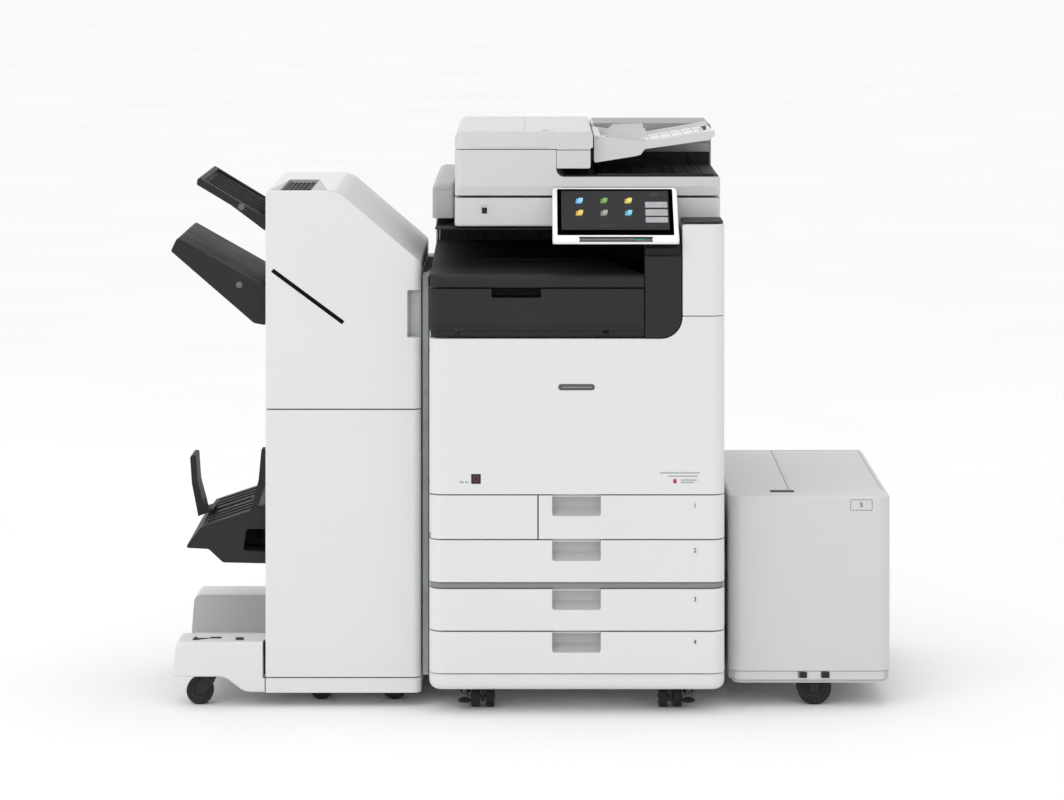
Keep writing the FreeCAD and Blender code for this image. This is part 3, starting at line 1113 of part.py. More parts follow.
def deck_base():
    """Hollow base with wheel cheeks, axles and cross beams."""
    base = along_z(deck_plan(1.0, 2.0, 29, 11), DECK_BOTTOM + 9, DECK_SEAM)
    base = fuse(base, along_z(deck_plan(8, 9, 22, 8), DECK_BOTTOM, DECK_BOTTOM + 9.1))
    base = fillet(base, 4, lambda span: span.ZMax < DECK_BOTTOM + 0.1)
    base = base.cut(along_z(deck_plan(12, 13, 18, 8), DECK_BOTTOM - 1, DECK_SEAM + 1))
    base = cut_each(base, *[box(x - 7, x + 7, DECK_Y0, DECK_Y0 + 9, 62, 75.95)
                            for x in (473.5, 521.5)])
    for y in DECK_WHEELS_Y:
        base = fuse(base, box(493, 513, y - 27, y - 22, 28, DECK_SEAM),
                    box(493, 513, y + 22, y + 27, 28, DECK_SEAM),
                    cyl("y", (DECK_WHEEL_X, DECK_WHEEL_R), y - 27, y + 27, 4.0))
        for y0 in (y + 22, y - 27):
            base = fuse(base, box(DECK_X0 + 8, DECK_X1 - 8, y0, y0 + 5, DECK_SEAM - 6, DECK_SEAM))
    return base


@part
def deck_shell():
    return solids(deck_body(), deck_base())


@part
def deck_lid():
    x0, x1, y0, y1, top = LID_X0, LID_X1, LID_Y0, LID_Y1, DECK_TOP
    lid = box(x0 + 5.0, x1 - 1.0, y0 + 1.0, y1 - 1.0, top - 7.6, top - 0.2)
    lid = fuse(lid, cyl("y", (x0 + 5.0, top - 3.9), y0 + 1.0, y1 - 1.0, 3.7))
    return cut_each(lid, box(x0 + 20, x1 - 16, y0 + 16, y1 - 16, top - 9, top - 4.2),
                    box(x0, x0 + 16, y0, y0 + 4.0, top - 9, top + 1))


@part
def deck_lift_plate():
    plate = cut_each(box(421, 650.5, -188, 192, 92, 95), box(520, 560, -189, -120, 91, 96),
                     box(600, 660, -40, 40, 91, 96))
    return fuse(plate, box(421, 650.5, 188, 192, 92, 104))


@part
def deck_button():
    x0, x1, z0, z1 = BUTTON
    return along_y(rect(x0 + 1, x1 - 1, z0 + 1, z1 - 1, 1.5), DECK_Y0 + 0.2, DECK_Y0 + 3.0)


PARTS["deck_wheels"] = solids(
    *[caster_wheel(DECK_WHEEL_X, y, DECK_WHEEL_R, 40.0, 4.06) for y in DECK_WHEELS_Y])

# ---- origin to the bottom centre of the bounding box, then one STEP file per part ----
bounds = [shape.optimalBoundingBox(False) for shape in PARTS.values()]
move = Vector(-(min(b.XMin for b in bounds) + max(b.XMax for b in bounds)) / 2,
              -(min(b.YMin for b in bounds) + max(b.YMax for b in bounds)) / 2,
              -min(b.ZMin for b in bounds))
os.makedirs("parts", exist_ok=True)
for name, shape in PARTS.items():
    moved = shape.copy()
    moved.translate(move)
    moved.exportStep(os.path.join("parts", name + ".step"))
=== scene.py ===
# A floor-standing office copier, with its front toward -Y and +Z up. The main unit, with its
# reader, document feeder and control panel, is in the middle. The finisher and its trays
# stand at -X and the side paper deck at +X. Pieces are laid out in millimetres about the
# centre of the main unit and turned into frame metres when they are built.
import math
import operator
from collections import namedtuple
from functools import partial

import bmesh
import bpy
from mathutils import Matrix, Vector


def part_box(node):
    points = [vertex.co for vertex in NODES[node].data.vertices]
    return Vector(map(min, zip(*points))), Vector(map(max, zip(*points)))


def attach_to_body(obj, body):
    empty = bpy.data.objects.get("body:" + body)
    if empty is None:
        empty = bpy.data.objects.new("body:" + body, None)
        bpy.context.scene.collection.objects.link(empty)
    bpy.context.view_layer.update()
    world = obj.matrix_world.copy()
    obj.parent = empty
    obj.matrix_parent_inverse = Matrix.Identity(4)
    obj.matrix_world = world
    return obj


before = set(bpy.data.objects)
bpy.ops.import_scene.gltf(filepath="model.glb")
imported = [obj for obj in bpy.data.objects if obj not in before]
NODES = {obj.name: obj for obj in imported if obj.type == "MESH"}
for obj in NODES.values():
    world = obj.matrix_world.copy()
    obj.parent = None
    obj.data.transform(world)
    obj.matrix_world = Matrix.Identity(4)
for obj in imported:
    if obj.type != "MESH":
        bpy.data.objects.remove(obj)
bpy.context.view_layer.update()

Point = namedtuple("Point", "x y z")

# ---------------------------------------------------------------------------
# layout
# ---------------------------------------------------------------------------
SKIRT_BOTTOM = 51.5  # layout height of the underside of the skirt
skirt_lo, skirt_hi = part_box("base_skirt")
ORIGIN = (
    (skirt_lo.x + skirt_hi.x) * 500.0,
    (skirt_lo.y + skirt_hi.y) * 500.0,
    skirt_lo.z * 1000.0 - SKIRT_BOTTOM,
)


def to_frame(x, y, z):
    """A layout point in millimetres as a frame point in metres."""
    return Vector([(value + shift) / 1000.0 for value, shift in zip((x, y, z), ORIGIN)])


def to_layout(place):
    """A frame point in metres as a layout point in millimetres."""
    return Point(*(value * 1000.0 - shift for value, shift in zip(place, ORIGIN)))


def layout_box(node):
    lo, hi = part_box(node)
    return to_layout(lo), to_layout(hi)


LID_LO, LID_HI = layout_box("finisher_top_cover")
WIDE_LID = LID_LO.x < -640.0

# Front faces (y) and other reference faces
FRONT = -361.0
FINISHER_FRONT = -281.0
FEEDER_TOP = 1210.0  # z
SCREEN = -0.3  # screen glass, measured out of the panel face

# The panel's own axes: across is X, up its slope, and out of its face
PANEL_CORNER = Vector((-51.0, -395.0, 990.6))
PANEL_UP = Vector((0.0, 139.0, 107.4 if WIDE_LID else 102.7)).normalized()
PANEL_OUT = Vector((0.0, -PANEL_UP.z, PANEL_UP.y))

# Wheels: axle direction, the axle's two other coordinates, hub radius.
# Each wheel stands on the floor, so the height of its axle is its radius.
WHEELS = {
    "main_wheels_front": ("x", (-275.0, 22.0), 13.0),
    "main_wheels_rear": ("x", (275.0, 22.0), 13.0),
    "finisher_wheels_left": ("y", (-541.6, 25.0), 14.0),
    "finisher_wheels_right": ("y", (-386.0, 25.0), 14.0),
    "finisher_caster_wheel": ("y", (-796.0, 28.5), 15.0),
    "deck_wheels": ("y", (503.0, 36.0), 20.0),
}


# ---------------------------------------------------------------------------
# materials
# ---------------------------------------------------------------------------
class Graph:
    """The node tree of a material or a world, with short calls for common nodes."""

    def __init__(self, owner, output="ShaderNodeOutputMaterial"):
        self.owner = owner
        owner.use_nodes = True
        self.tree = owner.node_tree
        self.tree.nodes.clear()
        self.output = self.add(output)
        self.coords = self.add("ShaderNodeTexCoord").outputs

    def add(self, kind, **settings):
        node = self.tree.nodes.new(kind)
        for key, value in settings.items():
            setattr(node, key, value)
        return node

    def feed(self, socket, value):
        """Gives a socket a number, a colour or a link."""
        if isinstance(value, tuple):
            socket.default_value = (*value, 1.0)
        elif isinstance(value, (int, float)):
            socket.default_value = value
        else:
            self.tree.links.new(value, socket)

    def noise(self, scale, detail=2.0, rough=0.5, stretch=None):
        node = self.add("ShaderNodeTexNoise")
        node.inputs["Scale"].default_value = scale
        node.inputs["Detail"].default_value = detail
        node.inputs["Roughness"].default_value = rough
        source = self.coords["Object"]
        if stretch:
            mapping = self.add("ShaderNodeMapping")
            mapping.inputs["Scale"].default_value = stretch
            self.feed(mapping.inputs["Vector"], source)
            source = mapping.outputs["Vector"]
        self.feed(node.inputs["Vector"], source)
        return node.outputs["Fac"]

    def ramp(self, value, lo, hi, start=0.0, end=1.0):
        """Maps lo..hi to start..end."""
        node = self.add("ShaderNodeMapRange")
        node.inputs["From Min"].default_value = lo
        node.inputs["From Max"].default_value = hi
        node.inputs["To Min"].default_value = start
        node.inputs["To Max"].default_value = end
        self.feed(node.inputs["Value"], value)
        return node.outputs["Result"]

    def patches(self, lo, hi, start=0.0, end=1.0, **noise):
        """Noise with its range lo..hi mapped to start..end."""
        return self.ramp(self.noise(**noise), lo, hi, start, end)

    def calc(self, operation, first, second, clamp=False):
        node = self.add("ShaderNodeMath", operation=operation, use_clamp=clamp)
        self.feed(node.inputs[0], first)
        self.feed(node.inputs[1], second)
        return node.outputs[0]

    def mix(self, factor, first, second):
        node = self.add("ShaderNodeMix", data_type="RGBA")
        # Sockets 6 and 7 are the colour pair of the node
        for index, value in ((0, factor), (6, first), (7, second)):
            self.feed(node.inputs[index], value)
        return node.outputs[2]

    def bevel(self, radius):
        node = self.add("ShaderNodeBevel", samples=3)
        node.inputs["Radius"].default_value = radius
        return node.outputs["Normal"]

    def edge(self, bevelled, gain):
        """A mask of the edges: where the bevelled normal leaves the true one."""
        geometry = self.add("ShaderNodeNewGeometry")
        dot = self.add("ShaderNodeVectorMath", operation="DOT_PRODUCT")
        self.feed(dot.inputs[0], bevelled)
        self.feed(dot.inputs[1], geometry.outputs["Normal"])
        turned = self.calc("SUBTRACT", 1.0, dot.outputs["Value"])
        return self.calc("MULTIPLY", turned, gain, clamp=True)

    def bump(self, height, strength, distance, normal=None):
        node = self.add("ShaderNodeBump")
        node.inputs["Strength"].default_value = strength
        node.inputs["Distance"].default_value = distance
        self.feed(node.inputs["Height"], height)
        if normal is not None:
            self.feed(node.inputs["Normal"], normal)
        return node.outputs["Normal"]

    def surface(self, color, rough, normal, metallic=0.0, specular=0.5, coat=0.0,
                coat_rough=0.1, sheen=0.0, transmission=0.0, ior=1.5):
        node = self.add("ShaderNodeBsdfPrincipled")
        values = {
            "Base Color": color, "Roughness": rough, "Normal": normal, "Metallic": metallic,
            "Specular IOR Level": specular, "Coat Weight": coat, "Coat Roughness": coat_rough,
            "Sheen Weight": sheen, "Transmission Weight": transmission, "IOR": ior,
        }
        for key, value in values.items():
            self.feed(node.inputs[key], value)
        self.feed(self.output.inputs["Surface"], node.outputs[0])
        return node


def new_graph(name):
    return Graph(bpy.data.materials.new(name))


def grey(value):
    return (value, value, value)


def shade(color, gain, lift=0.0):
    """A colour made brighter or darker, kept at or below 1."""
    return tuple(min(1.0, channel * gain + lift) for channel in color)


def plastic(name, color, rough=0.5, grain=900.0, bump=0.22, drift=0.03, edge_wear_and_highlight=None,
            specular=0.4, coat=0.0):
    """Moulded plastic: fine grain, slow colour drift, edges slightly glossier and paler, partly
    rubbed wear and partly a painted highlight.
    """
    graph = new_graph(name)
    slow = graph.patches(scale=5.0, detail=3.0, lo=0.3, hi=0.7)
    cloud = graph.patches(scale=42.0, detail=4.0, rough=0.6, lo=0.35, hi=0.65)
    base = graph.mix(slow, shade(color, 1.0 - drift), shade(color, 1.0 + drift * 0.6))
    base = graph.mix(graph.calc("MULTIPLY", cloud, 0.35), base, shade(color, 1.0 - drift * 0.7))
    fleck = graph.patches(scale=grain * 0.6, rough=0.7, lo=0.62, hi=0.78)
    light_fleck = shade(color, gain=1.12, lift=0.004)
    base = graph.mix(graph.calc("MULTIPLY", fleck, 0.10), base, light_fleck)
    bevelled = graph.bevel(radius=0.0009)
    edge = graph.edge(bevelled, gain=2.6)
    uneven = graph.patches(scale=70.0, detail=3.0, lo=0.35, hi=0.65, start=0.25)
    rubbed_and_highlit = graph.calc("MULTIPLY", edge, uneven)
    # Edges mixed toward a paler colour: partly rubbed wear, partly a painted highlight along the
    # edges.
    base = graph.mix(rubbed_and_highlit, base, edge_wear_and_highlight or shade(color, gain=1.05, lift=0.01))
    roughness = graph.patches(scale=18.0, detail=4.0, rough=0.6, lo=0.3, hi=0.7,
                              start=rough - 0.05, end=rough + 0.06)
    roughness = graph.calc("SUBTRACT", roughness, graph.calc("MULTIPLY", rubbed_and_highlit, 0.12))
    fine = graph.noise(scale=grain, detail=3.0, rough=0.65)
    waves = graph.calc("MULTIPLY", graph.noise(scale=26.0, detail=1.0), 0.8)
    height = graph.calc("ADD", fine, waves)
    normal = graph.bump(height, strength=bump, distance=0.00012, normal=bevelled)
    graph.surface(base, roughness, normal, specular=specular, coat=coat, coat_rough=0.25)
    return graph.owner


def metal(name, color, rough, stretch=(6.0, 6.0, 300.0), zinc=False):
    """Sheet metal or turned steel: streaked or spangled, darker patches, bright edges."""
    graph = new_graph(name)
    streak = graph.noise(scale=9.0, detail=4.0, rough=0.6, stretch=stretch)
    patch = graph.patches(scale=14.0, detail=4.0, lo=0.35, hi=0.65)
    base = graph.mix(patch, shade(color, gain=0.82), color)
    if zinc:
        cells = graph.add("ShaderNodeTexVoronoi")
        cells.inputs["Scale"].default_value = 70.0
        graph.feed(cells.inputs["Vector"], graph.coords["Object"])
        spangle = graph.ramp(cells.outputs["Distance"], lo=0.0, hi=0.9, end=0.35)
        base = graph.mix(spangle, base, shade(color, gain=1.2))
    bevelled = graph.bevel(radius=0.0006)
    edge = graph.edge(bevelled, gain=3.0)
    base = graph.mix(edge, base, shade(color, gain=1.3, lift=0.05))
    roughness = graph.ramp(streak, lo=0.25, hi=0.75, start=rough - 0.08, end=rough + 0.12)
    normal = graph.bump(streak, strength=0.12, distance=0.0001, normal=bevelled)
    graph.surface(base, roughness, normal, metallic=1.0)
    return graph.owner


def rubber(name, color, rough=0.75):
    """Rubber: dusty patches, paler edges and a coarse skin."""
    graph = new_graph(name)
    dust = graph.patches(scale=28.0, detail=5.0, rough=0.65, lo=0.45, hi=0.75)
    dusty = shade(color, gain=1.8, lift=0.012)
    base = graph.mix(graph.calc("MULTIPLY", dust, 0.5), color, dusty)
    bevelled = graph.bevel(radius=0.001)
    edge = graph.edge(bevelled, gain=2.2)
    pale = shade(color, gain=2.0, lift=0.02)
    base = graph.mix(graph.calc("MULTIPLY", edge, 0.6), base, pale)
    fine = graph.noise(scale=420.0, detail=3.0, rough=0.7)
    height = graph.calc("ADD", fine, graph.calc("MULTIPLY", graph.noise(scale=60.0), 0.6))
    normal = graph.bump(height, strength=0.35, distance=0.0002, normal=bevelled)
    roughness = graph.ramp(dust, lo=0.0, hi=1.0, start=rough - 0.08, end=rough + 0.12)
    graph.surface(base, roughness, normal, specular=0.3, sheen=0.05)
    return graph.owner


def glow(name, color, power=1.0, grid=0.0):
    """A lit element: soft mottling, fine bands of strength grid, on a near-black base."""
    graph = new_graph(name)
    mottle = graph.noise(scale=60.0)
    mottle = graph.ramp(mottle, lo=0.3, hi=0.7, end=0.35)
    light = graph.mix(mottle, color, shade(color, gain=0.72))
    bands = graph.add("ShaderNodeTexWave", wave_type="BANDS", bands_direction="X")
    bands.inputs["Scale"].default_value = 420.0
    graph.feed(bands.inputs["Vector"], graph.coords["Object"])
    band = graph.calc("MULTIPLY", bands.outputs["Fac"], grid)
    light = graph.mix(band, light, shade(color, gain=0.8))
    bevelled = graph.bevel(radius=0.0005)
    height = graph.noise(scale=30.0, detail=1.0)
    normal = graph.bump(height, strength=0.02, distance=0.0002, normal=bevelled)
    node = graph.surface((0.01, 0.01, 0.012), rough=0.20, normal=normal, specular=0.05)
    graph.feed(node.inputs["Emission Color"], light)
    node.inputs["Emission Strength"].default_value = power
    return graph.owner


def glass_black(name):
    graph = new_graph(name)
    smear = graph.patches(scale=9.0, detail=5.0, rough=0.7, lo=0.4, hi=0.8)
    bevelled = graph.bevel(radius=0.0007)
    base = graph.mix(smear, (0.0006, 0.0006, 0.0008), (0.0014, 0.0014, 0.0017))
    height = graph.noise(scale=14.0, detail=1.0)
    normal = graph.bump(height, strength=0.015, distance=0.0003, normal=bevelled)
    roughness = graph.ramp(smear, lo=0.0, hi=1.0, start=0.09, end=0.18)
    graph.surface(base, roughness, normal, specular=0.0)
    return graph.owner


def glass_clear(name):
    graph = new_graph(name)
    smear = graph.patches(scale=11.0, detail=5.0, rough=0.7, lo=0.45, hi=0.8)
    bevelled = graph.bevel(radius=0.0005)
    edge = graph.edge(bevelled, gain=4.0)
    base = graph.mix(edge, (0.86, 0.93, 0.91), (0.35, 0.62, 0.55))
    height = graph.noise(scale=6.0, detail=1.0)
    normal = graph.bump(height, strength=0.01, distance=0.0003, normal=bevelled)
    roughness = graph.ramp(smear, lo=0.0, hi=1.0, start=0.02, end=0.09)
    graph.surface(base, roughness, normal, transmission=0.85, ior=1.45)
    return graph.owner


def foam(name, color):
    """Foam or cork: an open, pitted skin."""
    graph = new_graph(name)
    pits = graph.noise(scale=700.0, detail=4.0, rough=0.8)
    cloud = graph.patches(scale=24.0, detail=4.0, lo=0.3, hi=0.7)
    base = graph.mix(cloud, color, shade(color, gain=0.93))
    pit_mask = graph.ramp(pits, lo=0.3, hi=0.6, start=0.25, end=0.0)
    base = graph.mix(pit_mask, base, shade(color, gain=0.7))
    normal = graph.bump(pits, strength=0.5, distance=0.0004)
    graph.surface(base, rough=0.9, normal=normal, specular=0.2, sheen=0.2)
    return graph.owner


WHITE = plastic("white_cover", (0.72, 0.73, 0.725), drift=0.012, edge_wear_and_highlight=grey(0.79))
LIGHT = plastic("light_grey_cover", (0.62, 0.63, 0.625), drift=0.016, edge_wear_and_highlight=grey(0.70))
DECK = plastic("deck_grey_cover", (0.62, 0.63, 0.625), drift=0.016, edge_wear_and_highlight=grey(0.71))
# Mid grey for the tower: partly its own grey, partly painted shade where it stands set back from
# the front.
TOWER_GREY_AND_SHADE = plastic("tower_grey_and_painted_shade", (0.445, 0.455, 0.45), rough=0.52, drift=0.02,
                edge_wear_and_highlight=grey(0.6))
MID = plastic("mid_grey_plastic", (0.36, 0.37, 0.37), rough=0.55, drift=0.04)
INNER = plastic("inner_grey_plastic", (0.50, 0.51, 0.51), rough=0.6, grain=500.0)
BLACK = plastic("black_plastic", (0.024, 0.0235, 0.027), rough=0.52, drift=0.10,
                edge_wear_and_highlight=(0.05, 0.05, 0.054), specular=0.2)
BAY = plastic("bay_black_plastic", (0.013, 0.013, 0.0145), drift=0.12,
              edge_wear_and_highlight=(0.026, 0.026, 0.029), specular=0.25)
# Near-black: painted shade in the toner cover's grip slot and on the lower finisher tray, and
# also the own black of the door inlay.
NEAR_BLACK_AND_SHADE = plastic("near_black_and_painted_shade", (0.006, 0.006, 0.0065), rough=0.6, drift=0.12,
                 edge_wear_and_highlight=(0.012, 0.012, 0.013), specular=0.05)
TRAY = plastic("tray_black_plastic", (0.015, 0.015, 0.0165), rough=0.55, drift=0.12,
               edge_wear_and_highlight=(0.04, 0.04, 0.043), specular=0.08, grain=600.0, bump=0.35)
BEZEL = plastic("panel_bezel", (0.82, 0.83, 0.83), rough=0.28, drift=0.01, bump=0.06,
                specular=0.5, coat=0.35)
DARK = plastic("dark_grey_plastic", (0.09, 0.09, 0.095), drift=0.08, edge_wear_and_highlight=(0.15, 0.15, 0.155))
# Dark for seams and gaps between parts: painted shade.
SEAM_SHADE = plastic("seam_painted_shade", (0.05, 0.05, 0.052), rough=0.8, drift=0.05)
BUTTON = plastic("tray_button_grey", (0.13, 0.13, 0.135), rough=0.55)
# Darker grey for the feeder's rear wall: painted shade.
FEEDER_WALL_SHADE = plastic("feeder_rear_painted_shade", (0.33, 0.335, 0.335), rough=0.55, drift=0.02,
                      edge_wear_and_highlight=grey(0.40))
GRIP = plastic("grip_grey", (0.40, 0.41, 0.41), rough=0.55)
STEEL = metal("frame_steel", (0.55, 0.57, 0.58), rough=0.38, zinc=True)
SCREW = metal("screw_steel", (0.62, 0.61, 0.58), rough=0.28, stretch=grey(200.0))
UNIT = metal("unit_metal", (0.30, 0.31, 0.32), rough=0.42, stretch=grey(12.0))
SHAFT = metal("turned_shaft_steel", (0.68, 0.68, 0.67), rough=0.20, stretch=(300.0, 8.0, 300.0))
RUBBER = rubber("rubber_black", (0.014, 0.014, 0.015))
ROLLER = rubber("roller_rubber", (0.055, 0.055, 0.06), rough=0.65)
BLACK_GLASS = glass_black("panel_black_glass")
GLASS = glass_clear("platen_clear_glass")
FOAM = foam("platen_pad_foam", (0.80, 0.81, 0.79))
CORK = foam("friction_cork", (0.30, 0.19, 0.10))
GREEN = plastic("lever_green", (0.03, 0.30, 0.14), rough=0.42, drift=0.06)
CYAN = plastic("cap_cyan", (0.02, 0.33, 0.55), rough=0.4, drift=0.05)
MAGENTA = plastic("cap_magenta", (0.52, 0.03, 0.20), rough=0.4, drift=0.05)
YELLOW = plastic("cap_yellow", (0.75, 0.55, 0.03), rough=0.4, drift=0.05)
# Mid grey for the inside of the handle scoops: painted shade in the recess.
SCOOP_PAINTED_SHADE = plastic("scoop_painted_shade_grey", (0.47, 0.475, 0.475), rough=0.55)
STRIP = plastic("strip_dark_grey", (0.25, 0.255, 0.26), rough=0.55, drift=0.04)
SCREEN_GLOW = glow("screen_grey", (0.027, 0.027, 0.0285), grid=0.25)

# ---------------------------------------------------------------------------
# materials on the CAD nodes
# ---------------------------------------------------------------------------
FAR = 1e9
UPWARD = Vector((0, 0, 1))
BACKWARD = Vector((0, 1, 0))


def paint(node, base, *rules):
    """Gives a node its finish. A rule is (material, test), the first that holds wins.

    A test takes the low and high corners of a face in layout millimetres and its normal.
    """
    mesh = NODES[node].data
    mesh.materials.clear()
    for material in (base, *(rule[0] for rule in rules)):
        mesh.materials.append(material)
    points = [to_layout(vertex.co) for vertex in mesh.vertices]
    for face in mesh.polygons:
        columns = list(zip(*(points[i] for i in face.vertices)))
        lo = Point(*map(min, columns))
        hi = Point(*map(max, columns))
        hits = (i for i, (_, test) in enumerate(rules, 1) if test(lo, hi, face.normal))
        face.material_index = next(hits, 0)


def between(x0=-FAR, x1=FAR, y0=-FAR, y1=FAR, z0=-FAR, z1=FAR, toward=None, least=0.5,
            ends=False):
    """A test for faces inside limits, whose normal leans toward a direction.

    least is what the normal's part along toward must exceed. ends lets faces touch the limits.
    """
    below = operator.le if ends else operator.lt

    def test(lo, hi, normal):
        inside = all(map(below, (x0, y0, z0), lo)) and all(map(below, hi, (x1, y1, z1)))
        return inside and (toward is None or normal.dot(toward) > least)
    return test


within = partial(between, ends=True)


def either(*tests):
    return lambda lo, hi, normal: any(test(lo, hi, normal) for test in tests)


def on_panel(u0, u1, v0, v1, w0, w1):
    """A test for faces centred inside limits across, up and out of the panel."""
    def test(lo, hi, normal):
        corners = [Vector((x, y, z)) - PANEL_CORNER
                   for x in (lo.x, hi.x) for y in (lo.y, hi.y) for z in (lo.z, hi.z)]
        centre = sum(corners, Vector()) / 8.0
        return (u0 <= centre.x <= u1 and v0 <= centre.dot(PANEL_UP) <= v1
                and w0 <= centre.dot(PANEL_OUT) <= w1)
    return test


# Nodes of a single finish
PLAIN = (
    (WHITE, "base_skirt finisher_base"),
    (LIGHT, "rear_cover left_cover right_cover adf_feeder_cover adf_guide_front"
            " adf_guide_rear right_door bypass_tray"),
    (DECK, "deck_lid deck_button"),
    (TOWER_GREY_AND_SHADE, "tower_cover"),
    (BLACK, "main_caster_forks power_switch booklet_tray booklet_stopper"
            " finisher_caster_fork output_tray scan_carriage"),
    (BAY, "adf_paper_bed finisher_top_cover"),
    (DARK, "energy_saver_key"),
    (UNIT, "imaging_unit fixing_unit adf_hinges"),
    (SCREW, "cover_screws"),
    (STEEL, "deck_lift_plate"),
    (GLASS, "platen_glass"),
)
for material, nodes in PLAIN:
    for node in nodes.split():
        paint(node, material)

# Covers with a grey face behind this y
for node, y in (("front_cover", -358.1), ("waste_cover", -358.0), ("column_cover", -356.0),
                ("finisher_lower_door", -279.0)):
    paint(node, WHITE, (INNER, between(y0=y, toward=BACKWARD)))

in_toner_recess = partial(between, x0=-182.5, x1=-70.5, y1=-340.0, z0=865.5)
# The grip slot's faces in near-black: painted shade in the recess.
paint("toner_cover", BLACK,
      (NEAR_BLACK_AND_SHADE, either(in_toner_recess(toward=BACKWARD, least=-0.5), in_toner_recess(y0=-359.0))))
paint("inner_cover", MID, (BLACK, either(between(y1=-331.6), between(z0=783.0))))
paint("main_chassis", STEEL, (STRIP, between(y1=-309.0)))
paint("bay_liner", BLACK, (BAY, between(x1=220.0, y0=-319.0, y1=177.0, z1=1007.0)))
for number in (1, 2, 3, 4):
    paint(f"cassette_{number}", INNER,
          # Top and bottom faces of the front panel in dark grey: painted shade for the seams
          # between the drawers.
          (DARK, lambda lo, hi, normal: abs(normal.z) > 0.8 and lo.x < -100.0 and hi.x > 200.0
           and hi.y < -332.5 and hi.y - lo.y > 6.0),
          # The inside of the handle scoop in mid grey: painted shade.
          (SCOOP_PAINTED_SHADE, between(x0=-54.0, x1=52.0, y0=-360.0, y1=-332.5)),
          (WHITE, between(y1=-332.5)))
paint("exit_rollers", ROLLER, (SHAFT, between(x0=226.5, x1=235.5, z0=930.5, z1=939.5)))
paint("reader_housing", LIGHT,
      (DARK, within(x0=-201.2, x1=-186.4, y0=-282.0, y1=-270.0, z0=1037.4, z1=1054.6)),
      (BAY, between(x0=-250.0, x1=298.0, y0=-246.0, y1=306.0, z0=1010.5, z1=1066.0)))
paint("adf_base", LIGHT,
      # The rear block's front faces and tops in darker grey: painted shade.
      (FEEDER_WALL_SHADE, lambda lo, hi, normal: lo.y > 100.0 and lo.z > 1110.0 and hi.x > 60.0
       and (normal.y < -0.4 or (normal.z > 0.3 and hi.y < 321.0))),
      (FOAM, within(x0=-191.0, x1=241.0, y0=-151.0, y1=151.0, z0=1070.0, z1=1099.0)),
      (INNER, between(x0=-245.0, x1=-57.0, y0=-223.0, y1=111.0, z0=1110.0, z1=1171.5)))
paint("adf_document_tray", LIGHT,
      (WHITE, between(x0=125.0, toward=UPWARD)),
      (DARK, within(x0=262.0, y0=-71.0, y1=-51.0, z0=1202.0)))
paint("adf_feed_roller", ROLLER,
      (SHAFT, lambda lo, hi, normal: hi.x - lo.x < 8.5 and lo.x > -94.5 and hi.x < -85.5
       and lo.z > 1135.5 and hi.z < 1144.5))
paint("panel_housing", BEZEL,
      (BLACK_GLASS, on_panel(9.0, 254.5, 20.0, 172.0, -3.2, -0.1)),
      (DARK, on_panel(55.0, 208.5, 2.0, 11.0, -7.2, -1.8)),
      (DARK, either(between(toward=-PANEL_OUT, least=0.9),
                    between(y0=-290.0, z1=1070.0, toward=-PANEL_OUT, least=0.2))))
paint("finisher_upper_door", WHITE,
      # Upward-sloping faces of the door in light grey: painted shade, the slope darker than the
      # front.
      (LIGHT, between(x0=-600.0, z0=860.0, toward=UPWARD, least=0.35)),
      (GRIP, within(x0=-357.0, x1=-328.0, y0=-270.0, y1=-262.0, z0=776.0, z1=881.0)),
      (INNER, between(y0=-279.0, toward=BACKWARD)))
paint("upper_tray", BLACK,
      (BUTTON, within(x0=-718.0, x1=-703.4, y0=-232.0, y1=-228.6, z0=1042.4, z1=1057.0)),
      (TRAY, between(y0=-215.0, y1=103.0, toward=UPWARD, least=0.2)))
paint("lower_tray", BLACK,
      (BUTTON, within(x0=-722.6, x1=-708.0, y0=-232.0, y1=-228.6, z0=876.9, z1=891.5)),
      # The tray's top and rear faces in near-black: painted shade under the upper tray.
      (NEAR_BLACK_AND_SHADE, between(y0=-215.0, y1=134.0, toward=UPWARD, least=0.2)),
      (NEAR_BLACK_AND_SHADE, between(y0=100.0, toward=-BACKWARD)))
paint("finisher_frame", WHITE,
      (ROLLER, within(x0=-361.0, x1=-339.0, y0=-201.0, y1=201.0, z0=894.0, z1=936.0)),
      # Upward-sloping faces on the right in light grey: painted shade, the slope darker than the
      # front.
      (LIGHT, lambda lo, hi, normal: normal.x > 0.2 and normal.z > 0.35
       and lo.z > 860.0 and lo.x > -600.0),
      # The narrow part beside the main unit in darker metal: partly the metal dock frame, partly
      # painted shade in the gap.
      (UNIT, within(x0=-326.5, x1=-311.0)),
      (STEEL, between(x0=-640.5, x1=-331.0, y0=-241.0, y1=223.5, z0=69.5, z1=920.5)),
      (INNER, between(x0=-653.0, x1=-330.5, y0=-260.0, y1=256.5)))
paint("booklet_base", WHITE,
      (RUBBER, within(x0=-810.0, x1=-770.0, y0=100.0, y1=140.0, z1=14.5)),
      (SCREW, within(x0=-796.0, x1=-784.0, y0=113.0, y1=127.0, z1=53.0)),
      # Narrow faces of the seam in dark: painted shade.
      (SEAM_SHADE, lambda lo, hi, normal: lo.z > 136.2 and hi.z < 141.0 and hi.y < -237.0
       and lo.y > -263.0 and lo.x > -813.0 and hi.x < -703.0 and hi.x - lo.x < 30.0),
      (INNER, either(between(y0=70.0, y1=76.0), between(y0=73.0, toward=-BACKWARD))))
paint("deck_shell", DECK,
      (BLACK, between(x0=492.0, x1=514.0, z1=80.0)),
      (INNER, between(x0=323.0, x1=659.0, y0=-280.0, y1=340.0, z0=52.0, z1=435.5)))


def face_centre(face):
    return face.center * 1000.0 - Vector(ORIGIN)


